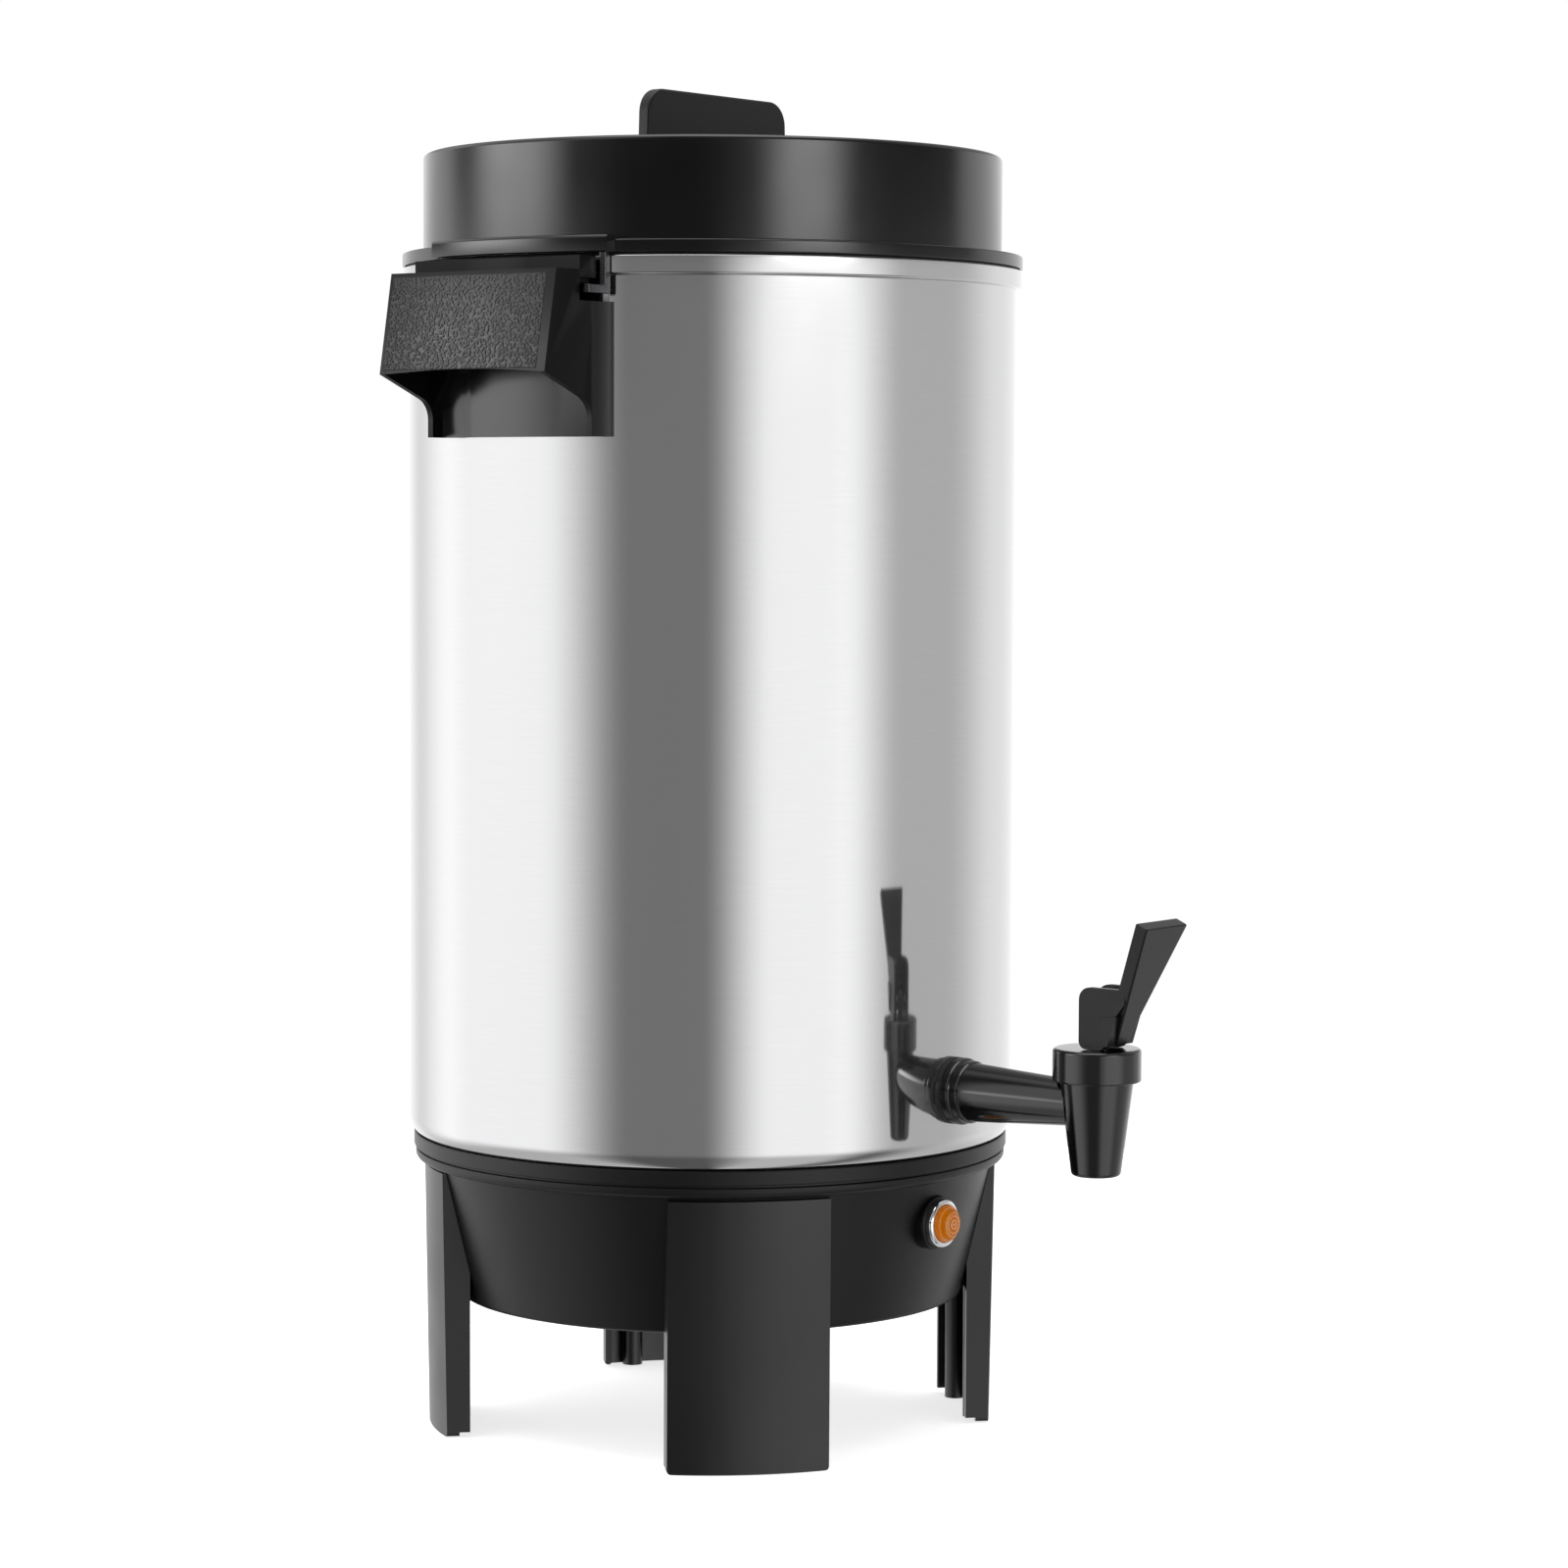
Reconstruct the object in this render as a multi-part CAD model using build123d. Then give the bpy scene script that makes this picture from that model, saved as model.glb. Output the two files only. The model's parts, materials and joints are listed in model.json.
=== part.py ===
from build123d import *
import os
from math import atan, cos, degrees, radians, sin, sqrt

# Electric percolator coffee urn. Millimetres, +Z up, standing on z = 0.
# The origin is on the urn's axis. The tap points along -Y, the handles along -X and +X.
# Azimuths are counted from the tap (-Y), positive towards +X.

# ---- Driving dimensions: tank ----
tank_radius = 127.0
tank_wall = 1.0
tank_height = 363.2
tank_corner = 10.5
rim_projection = 2.6
rim_height = 7.6
rim_rounding = 1.2
well_radius = 21.0
well_depth = 19.0

# ---- Driving dimensions: base shell ----
ground_clearance = 54.5
skirt_height = 57.1
skirt_bottom_radius = 106.4
skirt_top_radius = 119.4
skirt_wall = 2.6
skirt_corner = 3.0
ring_radius = 125.0
ring_height = 11.4
ring_band_height = 5.8
ring_band_step = 0.6
ring_rounding = 2.6
tank_nest = 3.0
ring_lip = 1.0
nest_cone_inset = 6.0
nest_cone_height = 2.3
skirt_lip = 1.0
shelf_thickness = 3.0
shelf_inner_radius = 72.0
cover_post_radius = 5.0
cover_post_count = 3
cover_post_circle = 92.0
cover_post_azimuth = 15.0
cover_screw_length = 12.0

# ---- Driving dimensions: legs ----
leg_half_width = 32.8
leg_top_radius = 120.6
leg_foot_radius = 118.8
leg_plate = 3.2
leg_web = 2.8
leg_web_depth = 9.6
leg_web_outer_depth = 5.2
leg_web_lift = 1.8
leg_top_gap = 1.6
leg_corner = 1.6
leg_azimuth = 46.3
leg_column_radius = 4.5
leg_column_offset = 20.0
leg_pad_half_width = 14.0
leg_pad_bottom = 76.0
leg_pad_top = 94.0
leg_screw_azimuth = 4.0
leg_screw_grip = 4.6
leg_inner_reach = 90.0

# ---- Driving dimensions: handles ----
handle_half_width = 43.0
handle_wall = 2.6
grip_top_reach = 151.0
grip_bottom_reach = 158.0
grip_height = 40.0
grip_arch = 1.6
deck_reach = 137.0
deck_step = 5.5
deck_gap = 0.7
handle_drop = 70.7
foot_reach = 129.6
cheek_knee_rise = 13.1
cheek_knee_rounding = 9.0
cheek_flare = 2.2
cheek_flare_reach = 10.0
cheek_flare_edge = 0.8
back_plate = 3.0
gusset_width = 12.0
gusset_depth = 6.0
gusset_slope_low = 11.5
gusset_slope_high = 25.5
catch_length = 10.0
catch_step = 2.1
recess_bottom_drop = 18.2
recess_top_drop = 9.2
latch_path_margin = 1.1
latch_end_gap = 1.0
handle_screw_azimuth = 15.5
handle_screw_drop = 34.0
handle_screw_grip = 7.0

# ---- Driving dimensions: lid ----
lid_side_inset = 6.3
lid_height = 46.4
lid_wall = 2.6
lid_flange_projection = 2.5
lid_flange_height = 5.4
lid_top_rounding = 1.6
lid_flange_rounding = 1.0
lid_recess_depth = 1.5
lid_recess_margin = 5.0
lid_plug_depth = 8.0
lug_projection = 4.8
lug_height = 7.0
lug_overhang = 4.0
latch_thickness = 2.4
latch_bar = 2.8
latch_rim_gap = 0.9
latch_projection = 15.6
latch_foot_height = 3.4
latch_drop = 15.2
latch_side_gap = 0.6
latch_cover = 1.5
gasket_lip = 0.8
gasket_leg_depth = 5.0
gasket_leg = 4.6
grip_bar_length = 93.0
grip_bar_height = 26.0
grip_bar_thickness = 6.0
grip_bar_corner = 10.0
grip_bar_edge = 1.2
grip_bar_draft = 1.0
grip_foot_height = 1.6
grip_foot_end = 4.0
grip_foot_side = 5.0
grip_foot_corner = 4.0
grip_screw_pitch = 60.0
grip_screw_grip = 9.0
vent_radius = 2.0
vent_circle = 80.0

# ---- Driving dimensions: percolator set ----
stem_radius = 5.0
stem_bore = 3.8
stem_height = 352.0
stem_shoulder_radius = 12.0
stem_shoulder_height = 4.0
basket_drop = 124.0
foot_disc_radius = 19.0
foot_disc_thickness = 3.0
foot_slot_width = 4.0
foot_slot_depth = 1.2
foot_slot_count = 4
foot_slot_azimuth = 45.0
bell_wall = 3.0
bell_height = 8.0
basket_radius = 96.0
basket_height = 88.0
basket_wall = 1.2
basket_rim = 2.4
spreader_dish = 4.0
perforation_radius = 2.0
basket_perforations = 20
basket_perforation_circle = 70.0
sleeve_wall = 1.6

# ---- Driving dimensions: tap ----
tap_rise = 29.3
tap_reach = 195.4
tap_collar_radius = 13.6
tap_collar_length = 4.0
tap_step_radius = 12.7
tap_step_length = 4.0
tube_root_radius = 11.9
tube_tip_radius = 9.1
tube_tip_sink = 4.0
tap_collar_rounding = 0.8
tap_shank_radius = 9.0
tap_shank_length = 14.0
tap_bore = 5.5
cup_top_radius = 14.6
cup_bottom_radius = 9.8
cup_depth = 37.8
cup_rise = 9.7
cup_lip_rounding = 2.0
chamber_radius = 10.0
seat_rise = -8.5
spout_bore = 6.5
neck_height = 7.4
neck_radius = 13.0
bonnet_radius = 17.6
bonnet_height = 13.2
bonnet_top = 3.0
bonnet_edge = 1.0
nut_across_flats = 26.0
nut_thickness = 6.0
washer_thickness = 2.0
tap_gasket_thickness = 1.6

# ---- Driving dimensions: valve and lever ----
valve_stem_radius = 2.6
seat_cup_radius = 8.6
seat_cup_height = 8.0
seat_cup_rounding = 2.0
stem_head_radius = 4.0
stem_head_flat = 0.6
pin_radius = 1.5
pin_height = 7.5
cheek_back = 3.4
cheek_toe = 9.0
cheek_toe_height = 8.0
cheek_front = 18.0
cheek_shoulder = 19.0
cheek_height = 24.6
cheek_corner_top = 5.0
cheek_corner_bottom = 3.3
cheek_half_span = 8.2
cheek_thickness = 2.8
cheek_rest_gap = 0.15
paddle_bottom_width = 7.3
paddle_top_width = 29.6
paddle_thickness = 5.8
paddle_bottom_offset = 11.4
paddle_top_offset = 32.4
paddle_height = 48.0
paddle_lift = 1.8
paddle_edge = 0.7
root_width = 18.6
root_height = 13.0
root_slope = 0.8
root_foot_inset = 2.5
cheek_trim_gap = 0.2
spring_radius = 6.0
spring_wire = 0.6
spring_turns = 5
seat_cup_floor = 2.5
stem_flange = 1.5
pin_cover = 1.0
root_inner_offset = 6.8
root_outer_offset = 14.5

# ---- Driving dimensions: pilot light ----
pilot_rise = 39.8
pilot_boss_radius = 11.0
pilot_boss_reach = 119.4
bezel_radius = 9.9
bezel_depth = 3.2
bezel_rounding = 1.2
lens_radius = 7.5
lens_step_radius = 5.4
lens_step_depth = 1.9
lens_step_rounding = 0.8
lens_projection = 2.0
lens_rounding = 1.0
housing_radius = 6.4
housing_length = 22.0
housing_wall = 1.6
housing_floor = 2.0
lamp_radius = 2.6
lamp_length = 14.0
lamp_rounding = 1.8
pilot_nut_radius = 9.5
pilot_nut_thickness = 3.0

# ---- Driving dimensions: electrics ----
stud_circle = 82.0
stud_radius = 2.5
stud_count = 3
stud_azimuth = 30.0
stud_tip = 2.0
stud_nut_flats = 8.0
stud_nut_height = 4.0
brew_tube_radius = 4.0
brew_pin_length = 12.0
brew_pin_radius = 1.5
brew_drop = 2.0
warming_outer_radius = 64.0
warming_inner_radius = 32.0
warming_thickness = 3.0
clamp_thickness = 1.2
clamp_outer_lip = 4.0
clamp_inner_step = 2.0
clamp_arm_width = 16.0
clamp_arm_overhang = 7.0
thermostat_radius = 8.5
thermostat_height = 9.0
thermostat_circle = 48.0
blade_width = 6.0
blade_thickness = 0.8
blade_length = 7.0
blade_pitch = 9.0
cutoff_length = 18.0
cutoff_width = 7.0
cutoff_height = 6.0
cutoff_rounding = 2.0
terminal_length = 36.0
terminal_width = 16.0
terminal_height = 12.0
terminal_circle = 55.0
terminal_poles = 3
terminal_well_radius = 2.6
terminal_well_depth = 5.0
thermostat_azimuth = 90.0
cutoff_azimuth = -90.0
brew_pin_azimuths = (165.0, 195.0)
inlet_width = 27.0
inlet_height = 20.0
inlet_depth = 20.0
inlet_flange_width = 48.0
inlet_flange_height = 26.0
inlet_flange = 2.4
inlet_pad_reach = 121.0
inlet_rise = 39.0
inlet_pad_margin = 2.0
inlet_corner = 4.0
inlet_back = 3.0
inlet_socket_wall = 2.0
inlet_pin_width = 4.0
inlet_pin_thickness = 2.0
inlet_pin_pitch = 7.0
inlet_pin_stagger = 3.0
inlet_pin_tail = 6.0
inlet_pin_recess = 6.0
inlet_screw_pitch = 38.0
inlet_screw_grip = 10.0
cover_thickness = 2.0
cover_lift = 1.6
cover_vent_radius = 3.0
cover_vent_count = 10
cover_vent_circle = 40.0

# ---- Shared fits and fasteners ----
running_gap = 0.05
seat_gap = 0.1
soft_gap = 0.35
assembly_gap = 0.4
screw_radius = 2.0
screw_head_radius = 3.6
screw_head_height = 2.2
screw_head_rounding = 0.8
screw_slot_width = 1.0
screw_slot_depth = 1.0
screw_tip_gap = 0.5
seal_washer_thickness = 1.0
seal_washer_margin = 1.0

# ---- Working lengths that never show: cutters run past a wall, fused pieces sink in a neighbour ----
cut_overrun = 5.0
merge_depth = 1.0
trim_depth = 20.0
edge_tolerance = 0.01

# ---- Heights worked out from the driving dimensions ----
ring_bottom_z = ground_clearance + skirt_height
ring_top_z = ring_bottom_z + ring_height
tank_floor_z = ring_top_z - tank_nest
rim_top_z = tank_floor_z + tank_height
rim_bottom_z = rim_top_z - rim_height
rim_radius = tank_radius + rim_projection
tank_inner_radius = tank_radius - tank_wall
lid_side_radius = tank_radius - lid_side_inset
lid_flange_radius = tank_radius + lid_flange_projection
lug_radius = lid_flange_radius + lug_projection
latch_reach = tank_radius + latch_projection
well_floor_z = tank_floor_z - well_depth
skirt_slope = (skirt_top_radius - skirt_bottom_radius) / skirt_height
skirt_lean = degrees(atan(skirt_slope))
gasket_top_z = rim_top_z + gasket_lip
lid_top_z = gasket_top_z + lid_height
tap_z = tank_floor_z + tap_rise
cup_top_z = tap_z + cup_rise
cup_bottom_z = cup_top_z - cup_depth
bonnet_top_z = cup_top_z + bonnet_height
seat_z = tap_z + seat_rise
pin_z = bonnet_top_z + cheek_rest_gap + pin_height
pilot_z = ground_clearance + pilot_rise
inlet_z = ground_clearance + inlet_rise
cover_z = ground_clearance + cover_lift
leg_top_z = ring_bottom_z - leg_top_gap
deck_top_z = rim_top_z - deck_gap
grip_top_z = deck_top_z - deck_step
grip_bottom_z = grip_top_z - grip_height
handle_bottom_z = rim_top_z - handle_drop
recess_bottom_z = rim_top_z - recess_bottom_drop
recess_top_z = rim_top_z - recess_top_drop
latch_bottom_z = rim_top_z - latch_drop
latch_inner_radius = rim_radius + latch_rim_gap
latch_outer_radius = latch_inner_radius + latch_bar
stem_top_z = well_floor_z + tank_wall + stem_height
basket_floor_z = stem_top_z - basket_drop

inside_reach = tank_radius - trim_depth
lever_low_z = bonnet_top_z + cheek_rest_gap

BOTTOM = (Align.CENTER, Align.CENTER, Align.MIN)
# Span along Y that holds everything at one side of the urn, before it is turned to a handle.
SIDE_BAND = (-160, -100)


def skirt_radius(z):
    """Outer radius of the tapered skirt at height z."""
    return skirt_bottom_radius + (z - ground_clearance) * skirt_slope


def chord_reach(radius, offset):
    """Distance of a circle's edge from the centre line's foot, at a sideways offset."""
    return sqrt(radius**2 - offset**2)


def disc(radius, low, high):
    """Upright round disc or post on the Z axis."""
    return Pos(0, 0, low) * Cylinder(radius, high - low, align=BOTTOM)


def tube(outer, inner, low, high):
    """Upright tube on the Z axis."""
    return disc(outer, low, high) - disc(inner, low - cut_overrun, high + cut_overrun)


def block(x_span, y_span, z_span):
    """Box given by its spans along the three axes."""
    size = (x_span[1] - x_span[0], y_span[1] - y_span[0], z_span[1] - z_span[0])
    corner = Pos(x_span[0], y_span[0], z_span[0])
    return corner * Box(*size, align=(Align.MIN, Align.MIN, Align.MIN))


def bar(radius, start, end):
    """Round bar between two points."""
    run = Vector(*end) - Vector(*start)
    return Plane(origin=start, z_dir=run) * Cylinder(radius, run.length, align=BOTTOM)


def taper(start_radius, end_radius, start, end):
    """Round taper between two points."""
    run = Vector(*end) - Vector(*start)
    return Plane(origin=start, z_dir=run) * Cone(start_radius, end_radius, run.length, align=BOTTOM)


def revolved(points):
    """Solid turned about Z from a closed outline of (radius, height) points."""
    outline = Polyline(*[(r, 0, z) for r, z in points], close=True)
    return revolve(make_face(outline), Axis.Z)


def side_plate(points, half_low, half_high):
    """Plate from a (reach, height) outline, spanning X from half_low to half_high."""
    outline = Polyline(*[(half_low, -d, z) for d, z in points], close=True)
    return extrude(make_face(outline), half_high - half_low, dir=(1, 0, 0))


def turned(angle, shape):
    """The shape turned about the urn's axis by an azimuth."""
    return Rot(0, 0, angle) * shape


def polar(count, first, shape):
    """Copies of a shape spaced evenly round the axis."""
    return [turned(first + i * 360 / count, shape) for i in range(count)]


def gathered(shapes):
    """Separate solids kept side by side in one node."""
    return Compound(children=[solid for shape in shapes for solid in shape.solids()])


def joined(shapes):
    """The shapes fused into one."""
    total = shapes[0]
    for shape in shapes[1:]:
        total = total + shape
    return total


def hexagon(flats, low, high):
    """Upright hexagonal nut blank on the Z axis."""
    face = Pos(0, 0, low) * RegularPolygon(flats / 2, 6, major_radius=False)
    return extrude(face, high - low)


# ---- Tank ----
def stud_axis(low, high, radius):
    """Round bar on the axis of the stud nearest the tap."""
    return bar(radius, (0, -stud_circle, low), (0, -stud_circle, high))


def radial_bar(radius, azimuth, inner, outer, z):
    """Round bar pointing away from the axis at one azimuth and height."""
    return turned(azimuth, bar(radius, (0, -inner, z), (0, -outer, z)))


def handle_screw_places():
    """Azimuth of every handle screw."""
    return [side + turn for side in (-90, 90) for turn in (-handle_screw_azimuth, handle_screw_azimuth)]


def handle_screw_z():
    """Height of the handle screws."""
    return rim_top_z - handle_screw_drop


def make_tank():
    """Thin pot with a rolled rim band, a rounded floor and a sump in its middle."""
    outer = disc(tank_radius, tank_floor_z, rim_top_z)
    outer = fillet(outer.edges().group_by(Axis.Z)[0], tank_corner)
    rim = disc(rim_radius, rim_bottom_z, rim_top_z)
    rim = fillet(rim.edges().filter_by(GeomType.CIRCLE), rim_rounding)
    well = disc(well_radius + tank_wall, well_floor_z, tank_floor_z + tank_wall)
    inner = disc(tank_inner_radius, tank_floor_z + tank_wall, rim_top_z + rim_height)
    inner = fillet(inner.edges().group_by(Axis.Z)[0], tank_corner - tank_wall)
    sump = disc(well_radius, well_floor_z + tank_wall, tank_floor_z + tank_corner)
    shell = outer + rim + well - inner - sump
    shell = shell - shank_drill(seat_gap)
    for azimuth in handle_screw_places():
        reach = (tank_radius - cut_overrun, tank_radius + cut_overrun)
        shell = shell - radial_bar(screw_radius + seat_gap, azimuth, *reach, handle_screw_z())
    return shell


def make_tank_studs():
    """Studs welded under the tank's floor, which hold the shelf and the clamp plate."""
    low = tank_floor_z - shelf_thickness - clamp_thickness - stud_nut_height - stud_tip
    return gathered(polar(stud_count, stud_azimuth, stud_axis(low, tank_floor_z, stud_radius)))


def make_stud_nuts():
    """Hexagonal nuts on the tank's studs."""
    top = tank_floor_z - shelf_thickness - clamp_thickness
    nut = Pos(0, -stud_circle, 0) * hexagon(stud_nut_flats, top - stud_nut_height, top)
    nut = nut - stud_axis(0, tank_floor_z, stud_radius + running_gap)
    return gathered(polar(stud_count, stud_azimuth, nut))


# ---- Base shell ----
def pilot_seat_reach():
    """Reach of the flat face inside the skirt that the pilot light's nut bears on."""
    return skirt_radius(pilot_z - pilot_boss_radius) - skirt_wall - merge_depth


def pilot_boss():
    """Round boss that brings the skirt out to the pilot light's bezel."""
    root = pilot_seat_reach()
    return bar(pilot_boss_radius, (0, -root, pilot_z), (0, -pilot_boss_reach, pilot_z))


def make_inlet_frame():
    """Flat-faced frame on the back of the skirt that the power inlet is screwed to."""
    half_width = inlet_flange_width / 2 + inlet_pad_margin
    half_height = inlet_flange_height / 2 + inlet_pad_margin
    root = skirt_radius(inlet_z - half_height) - skirt_wall - trim_depth
    height = (inlet_z - half_height, inlet_z + half_height)
    frame = block((-half_width, half_width), (root, inlet_pad_reach), height)
    skirt = [(0, ground_clearance), (skirt_radius(ground_clearance), ground_clearance)]
    skirt += [(skirt_radius(ring_bottom_z), ring_bottom_z), (0, ring_bottom_z)]
    return frame - revolved(skirt) - inlet_cuts()


def inlet_cuts():
    """Cut-out and screw holes for the power inlet, right through the frame and the skirt."""
    inside = inlet_pad_reach - inlet_depth - cut_overrun
    outside = inlet_pad_reach + cut_overrun
    clear = 2 * seat_gap
    cuts = inlet_block(inlet_width + clear, inlet_height + clear, inside, outside)
    for x in inlet_screw_places():
        cuts = cuts + bar(screw_radius + running_gap, (x, inside, inlet_z), (x, outside, inlet_z))
    return cuts


def leg_screw_seat():
    """Point on the skirt in the middle of the leg pad, and the skirt's outward normal there."""
    z = (leg_pad_bottom + leg_pad_top) / 2
    lean = radians(skirt_lean)
    return Vector(0, -skirt_radius(z), z), Vector(0, -cos(lean), -sin(lean))


def leg_screw_axis(inner, outer, radius):
    """Bar square to the skirt's cone, from inner to outer of its surface."""
    point, normal = leg_screw_seat()
    return bar(radius, point + normal * inner, point + normal * outer)


def leg_screw_set(inner, outer, radius):
    """The bars of every leg screw, two to a leg."""
    one = leg_screw_axis(inner, outer, radius)
    pair = [turned(a, one) for a in (-leg_screw_azimuth, leg_screw_azimuth)]
    return [turned(leg_azimuth + 90 * i, screw) for i in range(4) for screw in pair]


def make_base_shell():
    """Ring, skirt and inner shelf in one moulding, with its boss, pad, posts and holes."""
    band_z = ring_top_z - ring_band_height
    shelf_z = tank_floor_z - shelf_thickness
    inner_top = skirt_top_radius - skirt_wall
    outline = [
        (ring_radius, ring_top_z),
        (ring_radius, band_z),
        (ring_radius - ring_band_step, band_z - ring_band_step),
        (ring_radius - ring_band_step, ring_bottom_z + ring_rounding),
        (ring_radius - ring_band_step - ring_rounding, ring_bottom_z),
        (skirt_top_radius, ring_bottom_z),
        (skirt_radius(ground_clearance + skirt_corner), ground_clearance + skirt_corner),
        (skirt_bottom_radius - skirt_lip, ground_clearance),
        (skirt_bottom_radius - skirt_wall, ground_clearance),
        (inner_top, ring_bottom_z),
        (inner_top, shelf_z),
        (shelf_inner_radius, shelf_z),
        (shelf_inner_radius, tank_floor_z),
        (tank_radius - nest_cone_inset, tank_floor_z),
        (ring_radius - ring_lip, tank_floor_z + nest_cone_height),
        (ring_radius - ring_lip, ring_top_z),
    ]
    shell = revolved(outline)
    post_foot = (0, -cover_post_circle, cover_z + cover_thickness)
    post = bar(cover_post_radius, post_foot, (0, -cover_post_circle, shelf_z))
    posts = joined(polar(cover_post_count, cover_post_azimuth, post))
    shell = shell + pilot_boss() + posts
    pilot_span = (pilot_seat_reach() - cut_overrun, pilot_boss_reach + cut_overrun)
    shell = shell - pilot_bar(housing_radius + seat_gap, *pilot_span)
    shell = shell - inlet_cuts()
    stud_hole = stud_axis(shelf_z - cut_overrun, tank_floor_z + cut_overrun, stud_radius + seat_gap)
    drill_top = cover_z + cover_thickness + cover_screw_length + screw_tip_gap
    drill = Pos(0, -cover_post_circle, 0) * disc(screw_radius + running_gap, cover_z - cut_overrun, drill_top)
    holes = leg_screw_set(-cut_overrun, cut_overrun, screw_radius + running_gap)
    holes += polar(stud_count, stud_azimuth, stud_hole)
    holes += polar(cover_post_count, cover_post_azimuth, drill)
    for hole in holes:
        shell = shell - hole
    return shell


def make_bottom_cover():
    """Disc inside the skirt's foot, vented, screwed up into the posts."""
    radius = skirt_bottom_radius - skirt_wall - seat_gap
    plate = disc(radius, cover_z, cover_z + cover_thickness)
    low = cover_z - cut_overrun
    high = cover_z + cover_thickness + cut_overrun
    vent = Pos(0, -cover_vent_circle, 0) * disc(cover_vent_radius, low, high)
    hole = Pos(0, -cover_post_circle, 0) * disc(screw_radius + seat_gap, low, high)
    cuts = polar(cover_vent_count, 0, vent) + polar(cover_post_count, cover_post_azimuth, hole)
    for cut in cuts:
        plate = plate - cut
    return plate


def pan_screw(length):
    """Pan head screw pointing up, its head below z = 0."""
    head = disc(screw_head_radius, -screw_head_height, 0)
    head = fillet(head.edges().group_by(Axis.Z)[0], screw_head_rounding)
    half = screw_slot_width / 2
    slot_floor = screw_slot_depth - screw_head_height
    across = (-screw_head_radius, screw_head_radius)
    slot = block(across, (-half, half), (slot_floor - cut_overrun, slot_floor))
    return head + disc(screw_radius, 0, length) - slot


def make_bottom_cover_screws():
    """Screws that hold the bottom cover to the posts."""
    screw = Pos(0, -cover_post_circle, cover_z) * pan_screw(cover_thickness + cover_screw_length)
    return gathered(polar(cover_post_count, cover_post_azimuth, screw))


# ---- Legs ----
def make_leg():
    """One leg at the tap's azimuth: a curved plate with side webs, columns and a screw pad."""
    outer = revolved([(0, 0), (leg_foot_radius, 0), (leg_top_radius, leg_top_z), (0, leg_top_z)])
    inner = revolved(
        [
            (0, -cut_overrun),
            (leg_foot_radius - leg_plate, -cut_overrun),
            (leg_top_radius - leg_plate, leg_top_z + cut_overrun),
            (0, leg_top_z + cut_overrun),
        ]
    )
    web_reach = chord_reach(leg_foot_radius, leg_half_width)
    width = (-leg_half_width, leg_half_width)
    slab = block(width, (-leg_top_radius - cut_overrun, -leg_inner_reach), (0, leg_top_z))
    slab = fillet(slab.edges().filter_by(Axis.Y).group_by(Axis.Z)[0], leg_corner)
    plate = outer & slab
    plate = plate - inner
    parts = [plate]
    for side in (-1, 1):
        x_span = sorted((side * (leg_half_width - leg_web), side * leg_half_width))
        web = block(x_span, (-leg_top_radius, -web_reach + leg_web_depth), (0, leg_top_z))
        web = web - block(x_span, (-web_reach + leg_web_outer_depth, 0), (-cut_overrun, leg_web_lift))
        web = web & outer & slab
        plate_reach = chord_reach(leg_foot_radius - leg_plate, leg_column_offset)
        column_reach = plate_reach - leg_column_radius + merge_depth
        x = side * leg_column_offset
        column = bar(leg_column_radius, (x, -column_reach, 0), (x, -column_reach, leg_top_z))
        parts += [web, column & outer]
    pad_width = (-leg_pad_half_width, leg_pad_half_width)
    pad = block(pad_width, (-leg_top_radius, -leg_inner_reach), (leg_pad_bottom, leg_pad_top))
    leg = joined(parts + [pad & outer])
    leg = leg - revolved(
        [
            (0, ground_clearance - seat_gap),
            (skirt_bottom_radius + seat_gap, ground_clearance - seat_gap),
            (skirt_top_radius + seat_gap, ring_bottom_z),
            (0, ring_bottom_z),
        ]
    )
    hole = leg_screw_axis(-cut_overrun, leg_screw_grip + screw_tip_gap, screw_radius + running_gap)
    for azimuth in (-leg_screw_azimuth, leg_screw_azimuth):
        leg = leg - turned(azimuth, hole)
    return leg


def make_leg_screws():
    """Screws from inside the skirt into each leg's pad."""
    point, normal = leg_screw_seat()
    depth = skirt_wall * cos(radians(skirt_lean)) + seat_gap
    screw = Plane(origin=point - normal * depth, z_dir=normal) * pan_screw(depth + leg_screw_grip)
    pair = [turned(a, screw) for a in (-leg_screw_azimuth, leg_screw_azimuth)]
    return gathered([turned(leg_azimuth + 90 * i, one) for i in range(4) for one in pair])


# ---- Handles: modelled at the tap's azimuth, then turned to each side ----
def cheek_outline():
    """Closed (reach, height) edge of a handle's side cheek, its knee rounded."""
    corners = [
        (inside_reach, deck_top_z),
        (deck_reach, deck_top_z),
        (deck_reach, grip_top_z),
        (grip_top_reach, grip_top_z),
        (grip_bottom_reach, grip_bottom_z),
        (foot_reach, handle_bottom_z + cheek_knee_rise),
        (foot_reach, handle_bottom_z),
        (inside_reach, handle_bottom_z),
    ]
    radii = [0, 0, 0, 0, 0, cheek_knee_rounding, 0, 0]
    return corners, radii


def make_cheek(low, high):
    """One side cheek of a handle, from low to high sideways."""
    corners, radii = cheek_outline()
    outline = FilletPolyline(*[(low, -d, z) for d, z in corners], radius=radii, close=True)
    return extrude(make_face(outline), high - low, dir=(1, 0, 0))


def cheek_flares():
    """Concave spread of both cheeks where they meet the tank, below the hook's recess."""
    side = handle_half_width + cheek_flare
    root = sqrt(tank_radius**2 - side**2) + cheek_flare_edge
    end = root + cheek_flare_reach
    radius = (cheek_flare_reach**2 + cheek_flare**2) / (2 * cheek_flare)
    flare = make_cheek(handle_half_width - merge_depth, side)
    flare = flare & block((0, side), (-end, -inside_reach), (handle_bottom_z, recess_bottom_z))
    hollow = disc(radius, handle_bottom_z - cut_overrun, recess_bottom_z + cut_overrun)
    flare = flare - Pos(handle_half_width + radius, -end, 0) * hollow
    return flare + mirror(flare, about=Plane.YZ)


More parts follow.
